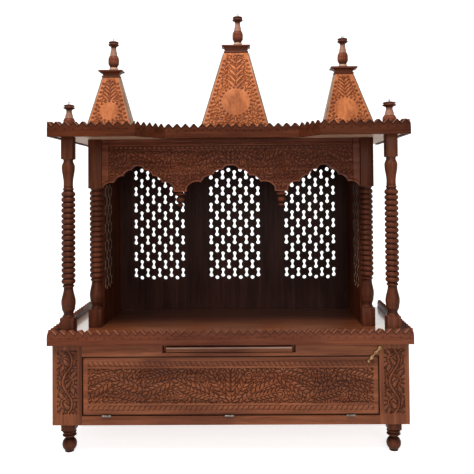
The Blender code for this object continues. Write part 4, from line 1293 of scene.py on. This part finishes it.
def level_corners(x, half, front, back, z):
    """The four corners of a level rectangle, from its front left one."""
    return [(x - half, front, z), (x + half, front, z), (x + half, back, z), (x - half, back, z)]


def make_spires(orange, plain):
    for place in SPIRES:
        node_name = "spire_" + place
        low, high, middle = size(node_name)
        base, top = (high.x - low.x) / 2, SPIRE_TOP[place] / 2
        height = high.z - low.z
        lean = base - top
        slant = hypot(lean, height)
        tilt = atan2(lean, height)
        sway = SPIRE_SWAY[place]
        shares = even(-1, 1, 2 * RELIEF_STEP / (2 * base))
        rise = np.linspace(0, slant, int(slant / RELIEF_STEP) + 1)
        y = np.repeat(rise[:, None], len(shares), axis=1)
        x = shares[None, :] * (base + (top - base) * y / slant)
        out, hollow = carve_spire(place, base, top, slant)(x, y)
        x = x + sway * y / slant
        stand = Matrix.Translation((middle.x, low.y, low.z)) @ Matrix.Rotation(pi / 2 - tilt, 4, "X")
        shape = Shape()
        shape.grid(apply(stand, np.stack([x, y, out], axis=-1)), hollow)
        bevel = SPIRE_EDGE * 0.9
        foot = level_corners(middle.x, base, low.y + bevel, high.y, low.z)
        crown = level_corners(middle.x + sway, top, low.y + lean + bevel, high.y, high.z)
        box = len(shape.points)
        # The spire's plain sides and back are painted paler with the colour of the painted highlights.
        shape.add(foot + crown, SPIRE_BOX_FACES, [-0.55] * 8)
        index = np.arange(x.size).reshape(x.shape)
        rims = ((index[:, 0], 0, 4), (index[::-1, -1], 5, 1), (index[0, ::-1], 1, 0), (index[-1], 4, 5))
        for edge, start, end in rims:
            shape.faces.append(tuple(int(i) for i in edge) + (box + end, box + start))
        carved = "carved_" + node_name
        front = stand_for(shape, carved, orange, "cabinet", node_name, sharp=CARVED_SHARP)
        front.data.materials.append(plain)
        for face in front.data.polygons:
            share = (face.center.z - low.z) / height
            inset = base + (top - base) * share - abs(face.center.x - middle.x - sway * share)
            face.material_index = int(inset < SPIRE_EDGE + 0.6 * MM)


def make_caps(brown):
    for place in SPIRES:
        node_name = "spire_cap_" + place
        low, high, middle = size(node_name)
        over = (high.x - low.x) / 2 - SPIRE_TOP[place] / 2 + SPIRE_COLLAR_IN[place]
        half = (high.x - low.x) / 2 - over
        collar = high.z - low.z - CAP_PLATE
        profile = [(grow * MM, collar * share) for grow, share in CAP_COVE]
        for share in np.linspace(0, 1, 7):
            profile.append((-2.0 * MM + (over - 1.5 * MM) * share**2.2, collar * (0.45 + 0.55 * share)))
        profile += [(over - inward * MM, collar + rise * MM) for inward, rise in CAP_PLATE_EDGE]
        rings = []
        for grow, rise in profile:
            front, back = low.y + over - grow, high.y - over + grow
            rings.append(level_corners(middle.x, half + grow, front, back, low.z + rise))
        shape = Shape()
        shape.grid(np.array(rings), closed=True)
        last = len(shape.points) - 4
        shape.faces += [(3, 2, 1, 0), (last, last + 1, last + 2, last + 3)]
        stand_for(shape, "coved_" + node_name, brown, "cabinet", node_name, sharp=SAWN_SHARP)


HOOK_LOOP = 2.6 * MM
HOOK_WIRE = 0.85 * MM
HOOK_STEM = 1 * MM
HOOK_DEEP = 3 * MM


def make_hooks(steel):
    """A bent wire loop in the top of each finial."""
    for index, name in enumerate(FINIALS):
        _, high, middle = size("finial_" + name)
        turn = 0.6 + 1.1 * index
        foot = high.z + HOOK_STEM
        route = [(middle.x, middle.y, high.z - HOOK_DEEP), (middle.x, middle.y, foot)]
        for angle in np.linspace(-pi / 2, pi * 1.15, 12):
            place = beside((middle.x, middle.y), HOOK_LOOP * cos(angle), turn)
            route.append((*place, foot + HOOK_LOOP * (1 + sin(angle))))
        shape = Shape()
        shape.tube(route, HOOK_WIRE)
        added(shape.piece("wire_loop_" + name, steel), "cabinet")


def make_tray_lip(pale):
    """The pale upper edge of the tray's front, a painted highlight."""
    low, high, _ = size("tray")
    shape = Shape()
    front = (low.x + 1 * MM, low.y - 0.5 * MM, high.z - 4.0 * MM)
    shape.block(front, (high.x - 1 * MM, low.y + 1 * MM, high.z), 0.5 * MM)
    added(shape.piece("tray_painted_highlight", pale), "tray")


LATCH_PIVOT = (0.3447, -0.1962, 0.2345)
LATCH_BOSS_FRONT = -0.1943
LATCH_TILT = radians(49)
LATCH_REACH = 0.0435
LATCH_BEADS = ((0.0, 0.0036), (0.0120, 0.0048), (0.0285, 0.0044), (LATCH_REACH, 0.0055))
LATCH_STEM, LATCH_TAIL = 0.0017, 0.0010
LATCH_FLATNESS = 0.36
LATCH_SIDES = 20
BOSS = ((2.4 * MM, 0), (2.4 * MM, 4.0 * MM), (1.8 * MM, 5.4 * MM), (0.6 * MM, 5.9 * MM))


def make_latch(brass):
    """The turned brass latch, a little flattened, on its boss."""
    profile = []
    for s in np.linspace(-0.003, LATCH_REACH + 0.0054, 70):
        swell = max(sqrt(max(0.0, radius**2 - (s - centre) ** 2)) for centre, radius in LATCH_BEADS)
        profile.append((max(swell, LATCH_STEM if s > 0 else LATCH_TAIL), s))
    x, y, z = LATCH_PIVOT
    lean = Matrix.Rotation(pi / 2 - LATCH_TILT, 4, "Y")
    stand = Matrix.Translation((x, y - 1.75 * MM, z)) @ lean @ Matrix.Diagonal((1, LATCH_FLATNESS, 1, 1))
    shape = Shape()
    shape.lathe(profile, LATCH_SIDES, stand=stand)
    shape.lathe(BOSS, LATCH_SIDES, stand=Matrix.Translation((x, LATCH_BOSS_FRONT, z)) @ FACING_FRONT)
    stand_for(shape, "turned_latch", brass, "latch", "latch")


RED_BOARDS = ("base_bottom_rail", "base_top_rail", "base_back", "base_floor", "tray")
RED_SIDES = ("base_side_left", "base_side_right", "tray_runner_left", "tray_runner_right")
DARK_WALLS = ("shrine_side_left", "shrine_side_right", "back_wall")


def main():
    make_camera()
    make_stage()
    red = {axis: wood("red", axis) for axis in "XYZ"}
    brown = {axis: wood("brown", axis) for axis in "XYZ"}
    # The near-black wood of the shrine's walls is painted shade.
    dark = wood("dark", "Z")
    brass, steel = metal("worn_brass", *BRASS), metal("worn_steel", *STEEL)
    # The roof board gets painted light under its wings; the deck gets painted shade and painted glare.
    finish = {"deck_board": wood("deck", "X"), "roof_board": wood("brown", "X", lit_wings=True)}
    finish.update(dict.fromkeys(RED_BOARDS, red["X"]))
    finish.update(dict.fromkeys(RED_SIDES, red["Y"]))
    finish.update(dict.fromkeys(DARK_WALLS, dark))
    finish.update(dict.fromkeys(("keeper_pin", "latch"), brass))
    for name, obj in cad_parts.items():
        material = finish.get(name, steel if name.startswith("hinge") else brown["X"])
        for index in range(max(1, len(obj.material_slots))):
            obj.material_slots[index].material = material
    make_pillars(brown["Z"])
    make_posts(brown["Z"])
    make_feet(brown["Z"])
    make_finials(wood("arch", "Z"))
    make_pendants(brown["Z"])
    make_door(red["X"])
    make_stiles(red["Z"])
    make_fences({axis: wood("fence", axis) for axis in "XY"}, {axis: wood("umber", axis) for axis in "XY"})
    make_tray_lip(wood("pale", "X"))
    make_arch_board(wood("arch", "X"))
    # The tan wood on the walls of the side walls' holes is painted light.
    make_walls(dark, wood("umber", "Z"), wood("tan", "Z"))
    make_spires(wood("orange", "Z"), wood("tan", "Z"))
    make_caps(brown["X"])
    make_hooks(steel)
    make_latch(brass)


main()
